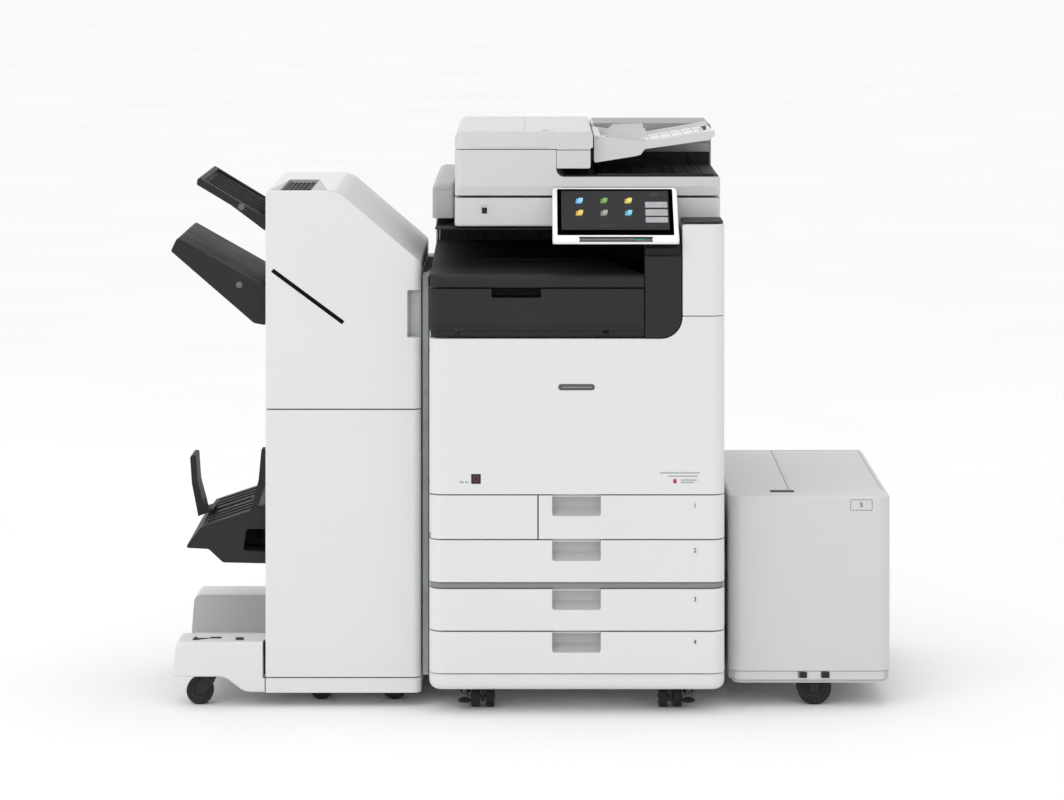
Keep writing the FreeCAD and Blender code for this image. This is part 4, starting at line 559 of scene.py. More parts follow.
def paint_wheel(node, axis, axle, hub):
    """Rubber tyre, with faces nearer to the axle than hub in black."""
    mesh = NODES[node].data
    mesh.materials.clear()
    mesh.materials.append(RUBBER)
    mesh.materials.append(BLACK)
    side = 1 if axis == "x" else 0
    for face in mesh.polygons:
        centre = face_centre(face)
        distance = math.hypot(centre[side] - axle[0], centre.z - axle[1])
        face.material_index = 1 if distance < hub else 0


def paint_toner():
    """Coloured caps at the front of the upper containers, grey for what lies below."""
    cap_bottom, cap_back = 760, -300
    first_x, pitch = -292, 96
    mesh = NODES["toner_containers"].data
    mesh.materials.clear()
    for material in (BLACK, CYAN, MAGENTA, YELLOW, INNER, DARK):
        mesh.materials.append(material)
    for face in mesh.polygons:
        centre = face_centre(face)
        if centre.z <= cap_bottom:
            face.material_index = 4
        elif centre.y < cap_back:
            container = int((centre.x - first_x) // pitch)
            face.material_index = 3 - max(0, min(3, container))
        else:
            face.material_index = 5


for node, (axis, axle, hub) in WHEELS.items():
    paint_wheel(node, axis, axle, hub)
paint_toner()


# ---------------------------------------------------------------------------
# outlines and pieces
# ---------------------------------------------------------------------------
def rounded(corners, radius=0.0, steps=6):
    """Corners (a, b), or (a, b, radius), as a plain outline with rounded corners."""
    outline = []
    for i, corner in enumerate(corners):
        r = corner[2] if len(corner) > 2 else radius
        if r <= 0:
            outline.append(corner[:2])
            continue
        here = Vector(corner[:2])
        back = (Vector(corners[i - 1][:2]) - here).normalized()
        ahead = (Vector(corners[(i + 1) % len(corners)][:2]) - here).normalized()
        half = math.acos(max(-1.0, min(1.0, back.dot(ahead)))) / 2.0
        if half < 1e-3 or abs(half - math.pi / 2) < 1e-3:
            outline.append((here.x, here.y))
            continue
        reach = r / math.tan(half)
        centre = here + (back + ahead).normalized() * (r / math.sin(half))
        start = here + back * reach - centre
        end = here + ahead * reach - centre
        first = math.atan2(start.y, start.x)
        sweep = (math.atan2(end.y, end.x) - first + math.pi) % (2 * math.pi) - math.pi
        for k in range(steps + 1):
            angle = first + sweep * k / steps
            outline.append((centre.x + r * math.cos(angle), centre.y + r * math.sin(angle)))
    return outline


def rect(u0, u1, v0, v1, radius=0.0, steps=5):
    return rounded([(u0, v0), (u1, v0), (u1, v1), (u0, v1)], radius, steps)


# Drawing planes: right, up, direction of extrusion, origin
PLANES = {
    "xz": (Vector((1, 0, 0)), Vector((0, 0, 1)), Vector((0, 1, 0)), Vector((0, 0, 0))),
    "yz": (Vector((0, 1, 0)), Vector((0, 0, 1)), Vector((1, 0, 0)), Vector((0, 0, 0))),
    "xy": (Vector((1, 0, 0)), Vector((0, 1, 0)), Vector((0, 0, 1)), Vector((0, 0, 0))),
    "panel": (Vector((1, 0, 0)), PANEL_UP, PANEL_OUT, PANEL_CORNER),
}


def add_object(name, data):
    obj = bpy.data.objects.new(name, data)
    bpy.context.scene.collection.objects.link(obj)
    return obj


def attach(name, mesh, body):
    obj = add_object(name, mesh)
    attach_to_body(obj, body)


class Piece:
    """Collects solids in layout millimetres; leaving its with block makes one object of them.

    plane is the plane that outlines are drawn in, and mat numbers one of the materials.
    """

    def __init__(self, name, materials, body, slot="black_plastic", plane="xz"):
        self.name = name
        self.materials = materials if isinstance(materials, list) else [materials]
        self.body = body
        self.slot = slot
        self.plane = plane
        self.solids = bmesh.new()

    def __enter__(self):
        return self

    def __exit__(self, *error):
        for vertex in self.solids.verts:
            vertex.co = to_frame(*vertex.co)
        mesh = bpy.data.meshes.new(self.name)
        self.solids.to_mesh(mesh)
        self.solids.free()
        for material in self.materials:
            mesh.materials.append(material)
        mesh.set_sharp_from_angle(angle=math.radians(38))
        attach(self.name, mesh, self.body)

    def join(self, solid, mat):
        for face in solid.faces:
            face.material_index = mat
            face.smooth = True
        mesh = bpy.data.meshes.new("tmp")
        solid.to_mesh(mesh)
        solid.free()
        self.solids.from_mesh(mesh)
        bpy.data.meshes.remove(mesh)

    def prism(self, outline, start, end, bevel=0.3, steps=2, mat=0, plane=None):
        """An outline extruded from start to end, its edges bevelled in steps."""
        right, up, out, origin = PLANES[plane or self.plane]
        solid = bmesh.new()
        verts = [solid.verts.new(origin + right * p[0] + up * p[1] + out * start)
                 for p in outline]
        face = solid.faces.new(verts)
        made = bmesh.ops.extrude_face_region(solid, geom=[face])["geom"]
        moved = [item for item in made if isinstance(item, bmesh.types.BMVert)]
        bmesh.ops.translate(solid, verts=moved, vec=out * (end - start))
        bmesh.ops.recalc_face_normals(solid, faces=solid.faces)
        if bevel > 0:
            edges = [edge for edge in solid.edges
                     if len(edge.link_faces) == 2 and edge.calc_face_angle(0.0) > 0.6]
            bmesh.ops.bevel(solid, geom=edges, offset=bevel, segments=steps, profile=0.5,
                            affect="EDGES", clamp_overlap=True)
        self.join(solid, mat)

    def plate(self, u0, u1, v0, v1, radius, start, end, **options):
        """A rounded rectangle extruded from start to end."""
        self.prism(rect(u0, u1, v0, v1, radius), start, end, **options)

    def row(self, count, step, u0, u1, v0, v1, *rest, **options):
        """Equal plates, each moved on from the last by step (right, up)."""
        for k in range(count):
            du, dv = k * step[0], k * step[1]
            self.plate(u0 + du, u1 + du, v0 + dv, v1 + dv, *rest, **options)

    def ribs(self, outline, places, half=1.5, bevel=0.4):
        """The same outline at several places, as ribs of half thickness half."""
        for place in places:
            self.prism(outline, place - half, place + half, bevel=bevel)

    def box(self, x0, x1, y0, y1, z0, z1, bevel=0.5, steps=2):
        self.prism(rect(x0, x1, z0, z1), y0, y1, bevel=bevel, steps=steps, plane="xz")

    def lathe(self, axis, centre, profile, segments, mat=0):
        """profile: (radius, place along the axis); centre: the axle's two other coordinates."""
        along = "xyz".index(axis)
        first, second = [i for i in range(3) if i != along]
        solid = bmesh.new()
        rings = []
        for radius, place in profile:
            ring = []
            for k in range(segments if radius > 0 else 1):
                angle = 2 * math.pi * k / segments
                point = [0, 0, 0]
                point[along] = place
                point[first] = centre[0] + radius * math.cos(angle)
                point[second] = centre[1] + radius * math.sin(angle)
                ring.append(solid.verts.new(point))
            rings.append(ring)
        for a, b in zip(rings, rings[1:]):
            for k in range(segments):
                after = (k + 1) % segments
                if len(a) == 1:
                    solid.faces.new((a[0], b[k], b[after]))
                elif len(b) == 1:
                    solid.faces.new((a[k], a[after], b[0]))
                else:
                    solid.faces.new((a[k], a[after], b[after], b[k]))
        for ring in (rings[0], rings[-1]):
            if len(ring) > 1:
                solid.faces.new(ring)
        bmesh.ops.recalc_face_normals(solid, faces=solid.faces)
        self.join(solid, mat)


def numeral(name, text, place, material, body):
    """A raised numeral that faces the front, centred on a layout point."""
    curve = bpy.data.curves.new(name, "FONT")
    curve.body = text
    curve.size = 0.013
    curve.extrude = 0.00025
    curve.bevel_depth = 0.00005
    curve.align_x = "CENTER"
    curve.align_y = "CENTER"
    holder = add_object(name + "_tmp", curve)
    bpy.context.view_layer.update()
    evaluated = holder.evaluated_get(bpy.context.evaluated_depsgraph_get())
    mesh = bpy.data.meshes.new_from_object(evaluated)
    bpy.data.objects.remove(holder)
    # Stands the text up: its up becomes +Z and its face -Y
    x, y, z = to_frame(*place)
    mesh.transform(Matrix(((1, 0, 0, x), (0, 0, -1, y), (0, 1, 0, z), (0, 0, 0, 1))))
    mesh.materials.clear()
    mesh.materials.append(material)
    attach(name, mesh, body)


# ---- control panel ---------------------------------------------------------
def panel_piece(name, materials, body="control_panel", slot="clear_glass"):
    return Piece(name, materials, body, slot, plane="panel")


with panel_piece("panel_active_screen", SCREEN_GLOW) as screen:
    screen.plate(18.8, 244.3, 38.5, 161.0, 1.2, SCREEN - 0.1, SCREEN + 0.12,
                 bevel=0.05, steps=1)

TILE_COLUMNS = (56.1, 107.6, 159.1)
# Up the panel, then name and colour of each tile from left to right
TILE_ROWS = (
    (129.5, (("blue", (0.16, 0.45, 0.85)), ("green", (0.12, 0.26, 0.04)),
             ("yellow", (0.62, 0.50, 0.10)))),
    (91.0, (("amber", (0.62, 0.43, 0.06)), ("stone", (0.24, 0.25, 0.20)),
            ("teal", (0.10, 0.45, 0.52)))),
)


def screen_tile(name, u, v, color):
    """A slanted tile with a lighter slanted sheet and a short bar on it."""
    back = glow("tile_" + name, color)
    light = glow(f"tile_{name}_light", shade(color, gain=1.5, lift=0.1))
    lower = [(u - 7.6, v - 8.4), (u + 5.8, v - 8.4), (u + 7.6, v + 6.4), (u - 5.8, v + 6.4)]
    upper = [(u - 2.2, v - 3.4), (u + 7.2, v - 3.4), (u + 8.8, v + 9.0), (u - 0.4, v + 9.0)]
    with panel_piece("panel_tile_" + name, [back, light]) as tile:
        tile.prism(rounded(lower, 2), SCREEN + 0.1, SCREEN + 0.42, bevel=0.12)
        tile.prism(rounded(upper, 1.2), SCREEN + 0.38, SCREEN + 0.66, bevel=0.1, mat=1)
        tile.plate(u - 4.6, u + 2.6, v - 5.6, v - 4.2, 0.5, SCREEN + 0.38, SCREEN + 0.6,
                   bevel=0.05, steps=1, mat=1)


for v, tiles in TILE_ROWS:
    for u, (name, color) in zip(TILE_COLUMNS, tiles):
        screen_tile(name, u, v, color)

# Dim marks on the screen: across from-to, up from-to, corner radius
SCREEN_MARKS = [(u - 9.0, u + 9.0, v - 1.0, v + 1.0, 0.9)
                for u in TILE_COLUMNS for v in (112.5, 74.5)]
SCREEN_MARKS += [(30, 84, 150.5, 152.6, 0.9), (205, 226, 145.0, 154.0, 1.5),
                 (98, 120, 46.0, 50.0, 1.5), (232, 238, 148.0, 153.0, 1.5)]
with panel_piece("panel_screen_marks", glow("screen_dim_bar", (0.048, 0.048, 0.05))) as marks:
    for mark in SCREEN_MARKS:
        marks.plate(*mark, SCREEN + 0.1, SCREEN + 0.3, bevel=0.04, steps=1)

BAR_GLOWS = [glow("screen_bar", (0.46, 0.46, 0.49)),
             glow("screen_bar_green", (0.47, 0.50, 0.46))]
with panel_piece("panel_screen_bars", BAR_GLOWS) as bars:
    for v0, v1, mat in ((108.0, 126.0, 0), (82.5, 102.0, 1), (61.0, 77.5, 0)):
        bars.plate(194.9, 241.6, v0, v1, 1.6, SCREEN + 0.1, SCREEN + 0.4, bevel=0.1, mat=mat)
        bars.plate(219.0, 238.5, v0 + 3.0, v1 - 3.0, 1.0, SCREEN + 0.36, SCREEN + 0.55,
                   bevel=0.05, steps=1, mat=1 - mat)

with panel_piece("panel_screen_notes", glow("screen_note", (0.085, 0.045, 0.03))) as notes:
    for limits in ((100, 130, 53.0, 54.4), (206, 216, 50, 52)):
        notes.plate(*limits, 0.6, SCREEN + 0.1, SCREEN + 0.3, bevel=0.03, steps=1)

LAMP = glow("lamp_green", (0.012, 0.40, 0.13), power=1.2)
with panel_piece("energy_lamp", LAMP, "energy_saver_key") as lamp:
    lamp.plate(172.5, 190.5, 6.3, 9.2, 0.8, -0.55, -0.15, bevel=0.1)

with panel_piece("panel_strip_keys", DARK, slot="black_plastic") as keys:
    keys.row(6, (14, 0), 65.6, 74.4, 4.6, 8.6, 1.8, -2.25, -1.5, bevel=0.25)

with panel_piece("panel_strip_rims", BAY, slot="black_plastic") as rims:
    for v0, v1 in ((1.0, 2.7), (10.5, 16.4)):
        rims.plate(55.0, 208.5, v0, v1, 0.6, -0.5, 0.05, bevel=0.08, steps=1)

with panel_piece("panel_rear_ribs", DARK, slot="black_plastic") as ribs:
    ribs.row(9, (9, 0), 150, 154, 100, 150, 2.0, -16.9, -15.95)

# ---- main unit front -------------------------------------------------------
with Piece("blank_badge", [DARK, MID], "front_cover") as badge:
    badge.prism(rect(-39, 37, 678.5, 691.5, 6, steps=6), FRONT - 0.7, FRONT + 0.3)
    badge.prism(rect(-30, 31, 684.2, 685.8, 0.7, steps=6), FRONT - 0.95, FRONT - 0.6,
                bevel=0.15, mat=1)

LABEL_BROWN = plastic("label_brown", (0.085, 0.032, 0.028), rough=0.4)
with Piece("blank_square_label", [BLACK, LABEL_BROWN], "front_cover") as label:
    label.plate(-220.5, -200.5, 483.5, 504.0, 1.2, FRONT - 0.35, FRONT + 0.2, bevel=0.12)
    label.plate(-216.5, -204.5, 487.5, 500.0, 1.0, FRONT - 0.5, FRONT - 0.3,
                bevel=0.05, steps=1, mat=1)
    label.plate(-213.5, -207.5, 490.8, 496.6, 0.8, FRONT - 0.62, FRONT - 0.45,
                bevel=0.05, steps=1)

LINE_GLOSS = [plastic("label_line_grey", (0.42, 0.42, 0.43), rough=0.4),
              plastic("label_red", (0.45, 0.035, 0.05), rough=0.4)]
with Piece("blank_label_lines", LINE_GLOSS, "front_cover", "mid_grey_plastic") as lines:
    for x0, x1, z in ((172, 256, 506.5), (190, 252, 499.5), (216, 250, 491.5), (216, 244, 486.5)):
        lines.plate(x0, x1, z - 1.5, z + 1.5, 1.2, FRONT - 0.22, FRONT + 0.2,
                    bevel=0.06, steps=1)
    lines.plate(200.5, 207.5, 484.5, 493.5, 0.8, FRONT - 0.25, FRONT + 0.2,
                bevel=0.06, steps=1, mat=1)

with Piece("blank_chip_marks", GRIP, "front_cover", "mid_grey_plastic") as chips:
    for x0, x1 in ((-233.5, -226.5), (-245.0, -236.0)):
        chips.plate(x0, x1, 485.0, 489.0, 1.2, FRONT - 0.22, FRONT + 0.2, bevel=0.05, steps=1)

CASSETTE_TOPS = (459.2, 365.7, 263.7, 174.8)
NUMERAL_X = 246.0


def cassette_front(number, top):
    """Number plate, numeral, and the lip along the top of the handle scoop."""
    body = f"cassette_{number}"
    z = top - 21.0
    with Piece(body + "_number_plate", WHITE, body, "white_cover") as plate:
        plate.plate(NUMERAL_X - 6.5, NUMERAL_X + 6.5, z - 8.5, z + 8.5, 1.5,
                    FRONT - 0.25, FRONT + 0.2, bevel=0.1, steps=1)
    numeral(body + "_numeral", str(number), (NUMERAL_X, FRONT - 0.42, z), BLACK, body)
    corners = [(-51.0, top - 2.8, 0.8), (49.0, top - 2.8, 0.8),
               (49.0, top - 0.9, 0.6), (-51.0, top - 0.9, 0.6)]
    # The lip is light grey: painted shade along the top of the scoop.
    with Piece(body + "_scoop_lip", LIGHT, body, "light_grey_cover") as lip:
        lip.prism(rounded(corners), FRONT + 2.2, FRONT + 4.0, bevel=0.25)


for number, top in enumerate(CASSETTE_TOPS, 1):
    cassette_front(number, top)
numeral("deck_numeral", "5", (600.0, -286.35, 426.5), DARK, "deck_button")


# ---- finisher --------------------------------------------------------------
def slanted_bar(half_width, inset):
    """A bar in xz that falls across the upper door, each end pulled in by inset."""
    x0, z0 = -640.5, 920.0
    x1, z1 = -492.0, 810.0
    length = math.hypot(x1 - x0, z1 - z0)
    ux, uz = (x1 - x0) / length, (z1 - z0) / length
    return [(x - uz * side * half_width + ux * end * inset,
             z + ux * side * half_width + uz * end * inset)
            for x, z, end, side in ((x0, z0, 1, 1), (x0, z0, 1, -1),
                                    (x1, z1, -1, -1), (x1, z1, -1, 1))]


with Piece("door_black_inlay", NEAR_BLACK_AND_SHADE, "finisher_upper_door") as inlay:
    inlay.prism(slanted_bar(half_width=3.0, inset=0.5), FINISHER_FRONT - 0.35,
                FINISHER_FRONT + 2.1, bevel=0.5, steps=3)
    inlay.prism(slanted_bar(half_width=4.3, inset=-0.6), FINISHER_FRONT - 0.42,
                FINISHER_FRONT + 0.2, bevel=0.2)

with Piece("door_grip_pad", GRIP, "finisher_upper_door", "mid_grey_plastic") as pad:
    pad.plate(-354.0, -331.0, 781.0, 876.0, 2.0, FINISHER_FRONT + 12.0,
              FINISHER_FRONT + 12.6, bevel=0.2)

with Piece("upper_tray_ribs", TRAY, "upper_tray") as ribs:
    ribs.ribs([(-786, 1096.4), (-668, 1028.4), (-668, 1030.2), (-786, 1098.4)],
              range(-190, 90, 40))

# Curved floor of the lower tray and the ribs on it: x, z, corner radius
LOWER_FLOOR = [(-846, 952.5), (-700, 869.5, 60), (-664.5, 853.5),
               (-664.5, 850.5), (-701, 866.5, 57), (-846, 949.5)]
LOWER_RIB = [(-836, 948.9), (-700, 871.4, 60), (-668, 857.2),
             (-668, 855.0), (-700, 869.0, 60), (-836, 946.5)]
# In near-black: painted shade under the upper tray.
with Piece("lower_tray_floor", NEAR_BLACK_AND_SHADE, "lower_tray") as tray:
    tray.prism(rounded(LOWER_FLOOR, steps=8), -213, 132, bevel=0.5)
    tray.ribs(rounded(LOWER_RIB, steps=8), range(-190, 130, 40))

with Piece("finisher_exit_rollers", ROLLER, "finisher", "roller_rubber") as rollers:
    for y in (-180.0, -110.0, -40.0, 10.0, 60.0):
        profile = [(0, y - 9), (7.5, y - 9), (8.0, y - 8), (8.0, y + 8), (7.5, y + 9), (0, y + 9)]
        for z in (1041.0, 893.0):
            rollers.lathe("y", (-658.0, z), profile, segments=24)

with Piece("finisher_exit_frames", BAY, "finisher", plane="yz") as frames:
    for z0, z1 in ((1028.5, 1053.5), (880.5, 905.5)):
        frames.plate(-196, 76, z0, z1, 3.0, -656.6, -655.0)

with Piece("finisher_tray_racks", DARK, "finisher", plane="yz") as racks:
    for y in (-140.0, 40.0):
        racks.plate(y - 7.5, y + 7.5, 592, 1048, 2.0, -650.6, -648.0)
        racks.row(44, (0, 10.2), y - 5.0, y + 5.0, 600, 604.6, 0.6, -651.6, -650.4,
                  bevel=0.2, steps=1)

with Piece("finisher_top_ribs", [BAY, BLACK], "finisher_top_cover") as ribs:
    if WIDE_LID:
        for k in range(6):
            x = -625.0 + k * 9
            ribs.box(x, x + 2.4, LID_LO.y + 14, LID_HI.y - 14, 1088.2, 1089.0, bevel=0.3)
    else:
        for k in range(7):
            x = -622 + k * 9.2
            ribs.box(x, x + 2.4, -250, 34, 1081.2, 1082.6, bevel=0.3)

with Piece("finisher_rear_screws", SCREW, "finisher", "screw_steel") as screws:
    profile = [(0, 261.4), (3.6, 261.4), (4.6, 260.6), (4.9, 258.9)]
    for z in (150, 420, 690, 900):
        screws.lathe("y", (-630.0, z), profile, segments=20)
        screws.lathe("y", (-352.0, min(z, 860)), profile, segments=20)

with Piece("finisher_rear_louvres", BLACK, "finisher") as louvres:
    for k in range(9):
        z = 700 + k * 13
        louvres.row(2, (130, 0), -600, -520, z, z + 5.5, 2.6, 258.7, 260.4, bevel=0.4)

with Piece("finisher_rear_connector", [INNER, BLACK], "finisher", "mid_grey_plastic") as plate:
    plate.plate(-560, -430, 110, 170, 4, 258.6, 260.6, bevel=0.5)
    plate.plate(-548, -520, 122, 150, 2, 260.4, 262.2, bevel=0.4, mat=1)
    plate.plate(-505, -450, 126, 146, 2, 260.4, 261.8, bevel=0.4, mat=1)

with Piece("booklet_tray_ribs", TRAY, "finisher") as ribs:
    ribs.ribs([(-786, 372.9), (-690, 404.6), (-690, 407.4), (-786, 375.6)],
              (-190, -150, -110, 0, 40, 80), bevel=0.5)

# A dark strip in the gap: painted shade.
with Piece("booklet_base_seam", SEAM_SHADE, "finisher") as seam:
    seam.plate(-660.8, -657.4, 64, 136, 0.6, -257.6, -256.6, bevel=0.2)


def wheel_caps(name, node, faces):
    """Hub cap, rim step and axle nut; faces: (place along the axle, outward sign)."""
    axis, axle, _ = WHEELS[node]
    radius = axle[1]
    with Piece(name, [BLACK, DARK], node) as caps:
        for place, out in faces:
            # Radius as a share of the wheel's, then distance out from its face
            cap = ((0.62, 0), (0.60, 0.9), (0.46, 0.9), (0.42, 0.3), (0.24, 0.3), (0.20, 1.4),
                   (0, 1.4))
            nut = ((0.12, 1.3), (0.11, 2.4), (0, 2.6))
            for shape, segments, mat in ((cap, 36, 0), (nut, 6, 1)):
                profile = [(radius * share, place + out * depth) for share, depth in shape]
                caps.lathe(axis, axle, profile, segments, mat)


wheel_caps("caster_wheel_cap", "finisher_caster_wheel", [(-259.0, -1)])
for side in ("left", "right"):
    wheel_caps(f"finisher_{side}_wheel_caps", "finisher_wheels_" + side,
               [(-212.0, -1), (132.0, 1)])
deck_lo, deck_hi = layout_box("deck_wheels")
wheel_caps("deck_wheel_caps", "deck_wheels", [(deck_lo.y, -1), (deck_hi.y, 1)])

# ---- document feeder -------------------------------------------------------
# Grey lines: painted shade in the seams of the top cover.
with Piece("feeder_cover_top_seams", GRIP, "feeder_cover", "light_grey_cover", "xy") as seams:
    for limits in ((-225, -110, -222.0, -221.0), (-110, -109, -236, 300),
                   (-60, -59, -236, -150), (-60, 20, -150.0, -149.0)):
        seams.plate(*limits, 0, FEEDER_TOP - 0.4, FEEDER_TOP + 0.15, bevel=0.0)

with Piece("feeder_cover_marks", MID, "feeder_cover", "mid_grey_plastic", "xy") as marks:
    for outline in (rect(-74, -58, -205, -197, 1.5), rect(-54, -46, -205, -197, 3.0),
                    [(-74, -190), (-58, -190), (-66, -180)]):
        marks.prism(outline, FEEDER_TOP - 0.3, FEEDER_TOP + 0.3, bevel=0.1)

with Piece("document_tray_size_lines", GRIP, "document_tray", "mid_grey_plastic") as lines:
    slope = (1202.6 - 1179.5) / (279 - 137)
    for k in range(5):
        x = 160 + k * 24
        z = 1179.5 + (x - 137) * slope
        outline = [(x, z - 0.3), (x + 1.4, z - 0.07), (x + 1.4, z + 0.75), (x, z + 0.5)]
        lines.prism(outline, -205, 75, bevel=0.1, steps=1)

with Piece("document_tray_ribs", LIGHT, "document_tray", "light_grey_cover") as ribs:
    ribs.ribs([(56, 1182.6), (134, 1178.4), (134, 1180.4), (56, 1184.8)],
              (-196, -63, 66), half=2)
    ribs.ribs([(142, 1179.2), (276, 1201.0), (276, 1203.6), (142, 1181.8)],
              (-200, -120, 0, 70), half=1.6)

with Piece("feeder_bed_ribs", BAY, "document_feeder", plane="xy") as ribs:
    ribs.row(2, (80, 0), 61, 79, -26, -8, 2.0, 1116.5, 1119.0, bevel=0.5)
    for k in range(8):
        x = 60 + k * 30
        ribs.box(x, x + 2, -226, 96, 1116.2, 1118.6)
    ribs.box(44, 292, -240.4, -237.0, 1114.6, 1121.0, bevel=0.8)

with Piece("feeder_bed_wall_latch", BLACK, "document_feeder") as latch:
    latch.plate(150, 205, 1124, 1138, 2.0, 108.2, 111.0, bevel=0.5)
    latch.plate(252, 268, 1120, 1141, 2.0, 106.5, 111.0, bevel=0.6)

# In darker grey: painted shade on the rear wall.
with Piece("feeder_bed_wall_trim", FEEDER_WALL_SHADE, "document_feeder", "light_grey_cover") as trim:
    trim.plate(44.0, 300.4, 1143.7, 1162.8, 1.0, 107.6, 109.2)

with Piece("feeder_cover_grip_line", LIGHT, "feeder_cover", "light_grey_cover") as line:
    line.plate(-222, -60, 1176.2, 1178.6, 1.0, -252.2, -250.5, bevel=0.2)

# A dark line: painted shade in the seam.
with Piece("feeder_nose_seam", SEAM_SHADE, "feeder_cover") as seam:
    seam.plate(-41.5, 33.5, 1171.0, 1172.4, 0.5, -251.35, -250.6, bevel=0.1, steps=1)

with Piece("feeder_rear_vents", [LIGHT, BLACK], "document_feeder") as vents:
    vents.plate(45, 290, 1196, 1198, 0.8, 318.6, 320.4, bevel=0.2)
    vents.row(10, (16, 0), -220, -211, 1105, 1150, 4.0, 318.7, 320.6, bevel=0.4, mat=1)

with Piece("feeder_rear_screws", SCREW, "document_feeder", "screw_steel") as screws:
    profile = [(0, 322.0), (3.0, 322.0), (4.0, 321.2), (4.2, 319.6)]
    for x in (-240, 288):
        for z in (1086, 1106):
            screws.lathe("y", (x, z), profile, segments=20)

# ---- reader ----------------------------------------------------------------
with Piece("reader_front_window", BAY, "main_unit") as window:
    window.plate(-199.4, -188.4, 1039.4, 1052.4, 1.5, -279.6, -278.6)

with Piece("reader_scale_marks", DARK, "main_unit", plane="xy") as marks:
    for k in range(23):
        x = -220 + k * 20
        # Every fifth mark is longer
        marks.plate(x, x + 0.8, -166, -160 if k % 5 else -156, 0, 1069.8, 1070.25, bevel=0.0)
    marks.prism([(-238, -150), (-232, -150), (-232, -144)], 1069.8, 1070.3,
                bevel=0.05, steps=1)

# ---- output bay ------------------------------------------------------------
with Piece("output_tray_ribs", BLACK, "main_unit") as ribs:
    for y in (-120, 20, 110):
        # The ribs rise and grow shorter toward the back
        share = (y + 250) / 423.0
        z = 920.4 + share * 21.4
        right = 60 - share * 90
        outline = [(-286, z - 1.2), (right, z - 1.2), (right - 20, z + 1.0), (-280, z + 1.0)]
        ribs.ribs(outline, [y], half=1.6, bevel=0.5)

with Piece("bay_ribs_and_flags", BLACK, "main_unit") as bay:
    for k in range(12):
        x = -280 + k * 40
        bay.box(x, x + 2.4, 170.2, 173.2, 945, 1000)
    for y in range(-225, 160, 32):
        bay.box(213.6, 216.2, y, y + 2.2, 955, 1000)
    bay.ribs(rounded([(216, 968), (216, 955), (206, 940, 3), (200, 944, 3)]),
             (-180, -60, 60), half=5, bevel=0.6)

# Near-black: painted shade, so the lip reads as part of the dark grip slot.
with Piece("toner_cover_grip_lip", NEAR_BLACK_AND_SHADE, "toner_cover") as lip:
    lip.plate(-176.0, -77.5, 878.4, 881.0, 1.0, -358.6, -340.0)

with Piece("toner_cover_lines", BAY, "toner_cover") as lines:
    lines.row(2, (0, 12), -304.0, 136.0, 800.0, 801.0, 0.4, FRONT - 0.25, FRONT + 0.3,
              bevel=0.05, steps=1)

# ---- main casters ----------------------------------------------------------
for side in ("front", "rear"):
    wheels_lo, wheels_hi = layout_box("main_wheels_" + side)
    wheel_caps("main_caster_caps_" + side, "main_wheels_" + side,
               [(wheels_lo.x, -1), (wheels_hi.x, 1)])

# Adjuster profiles: radius, z
ADJUSTER_NUT = [(9.0, 26.0), (9.4, 27.0), (9.4, 30.5), (8.6, 31.6), (5.0, 31.6), (5.0, 50.0),
                (0, 50.0)]
ADJUSTER_FOOT = [(0, 14.4), (13.0, 14.4), (14.0, 15.4), (14.0, 18.0), (11.0, 21.0),
                 (4.4, 22.0), (4.4, 40.0)]
with Piece("adjuster_details", [DARK, RUBBER], "main_unit") as adjusters:
    for x in (-235.0, 235.0):
        for y in (-292.0, 292.0):
            adjusters.lathe("z", (x, y), ADJUSTER_NUT, segments=6)
            adjusters.lathe("z", (x, y), ADJUSTER_FOOT, segments=32, mat=1)
            for k in range(7):
                z = 32.0 + k * 2.4
                thread = [(4.4, z), (5.0, z + 0.8), (4.4, z + 1.8)]
                adjusters.lathe("z", (x, y), thread, segments=20)

# ---- rear and sides of the main unit ---------------------------------------
with Piece("rear_vent_mesh", BLACK, "main_unit") as mesh_bars:
    for first_x in (-240.0, 60.0):
        for k in range(16):
            x = first_x + k * 11
            mesh_bars.box(x, x + 1.4, 357.0, 358.6, 700, 900, bevel=0.2, steps=1)

with Piece("power_inlet_plate", [MID, BLACK, SCREW], "main_unit", "mid_grey_plastic") as inlet:
    inlet.plate(-285, -190, 110, 172, 5, 360.8, 362.0, bevel=0.4)
    inlet.plate(-276, -236, 118, 150, 3, 361.8, 362.5, mat=1)
    inlet.plate(-228, -200, 120, 136, 2, 361.8, 362.5, mat=1)
    inlet.row(3, (9, 0), -266, -262, 130, 140, 0.5, 362.3, 362.7, bevel=0.1, steps=1, mat=2)

# Sockets on the connector plate: x from-to, z from-to
SOCKETS = ((192, 212, 650, 674), (222, 240, 650, 674), (250, 280, 652, 668),
           (192, 280, 610, 632), (192, 224, 576, 594), (236, 280, 576, 594))
with Piece("connector_plate", [MID, BLACK], "main_unit", "mid_grey_plastic") as plate:
    plate.plate(180, 292, 560, 690, 5, 360.8, 361.9, bevel=0.4)
    for limits in SOCKETS:
        plate.plate(*limits, 1.5, 361.7, 362.5, bevel=0.25, mat=1)

with Piece("rear_filter_cover", [LIGHT, BLACK], "main_unit", "light_grey_cover") as cover:
    cover.plate(-120, 60, 480, 640, 6, 360.8, 361.7, bevel=0.35)
    cover.row(12, (0, 12), -108, 48, 492, 497, 2.2, 361.5, 362.4, mat=1)

with Piece("rear_cover_ribs", LIGHT, "main_unit", "light_grey_cover") as ribs:
    ribs.row(3, (0, 20), -250, 250, 300, 302.4, 1.0, 360.9, 361.6)

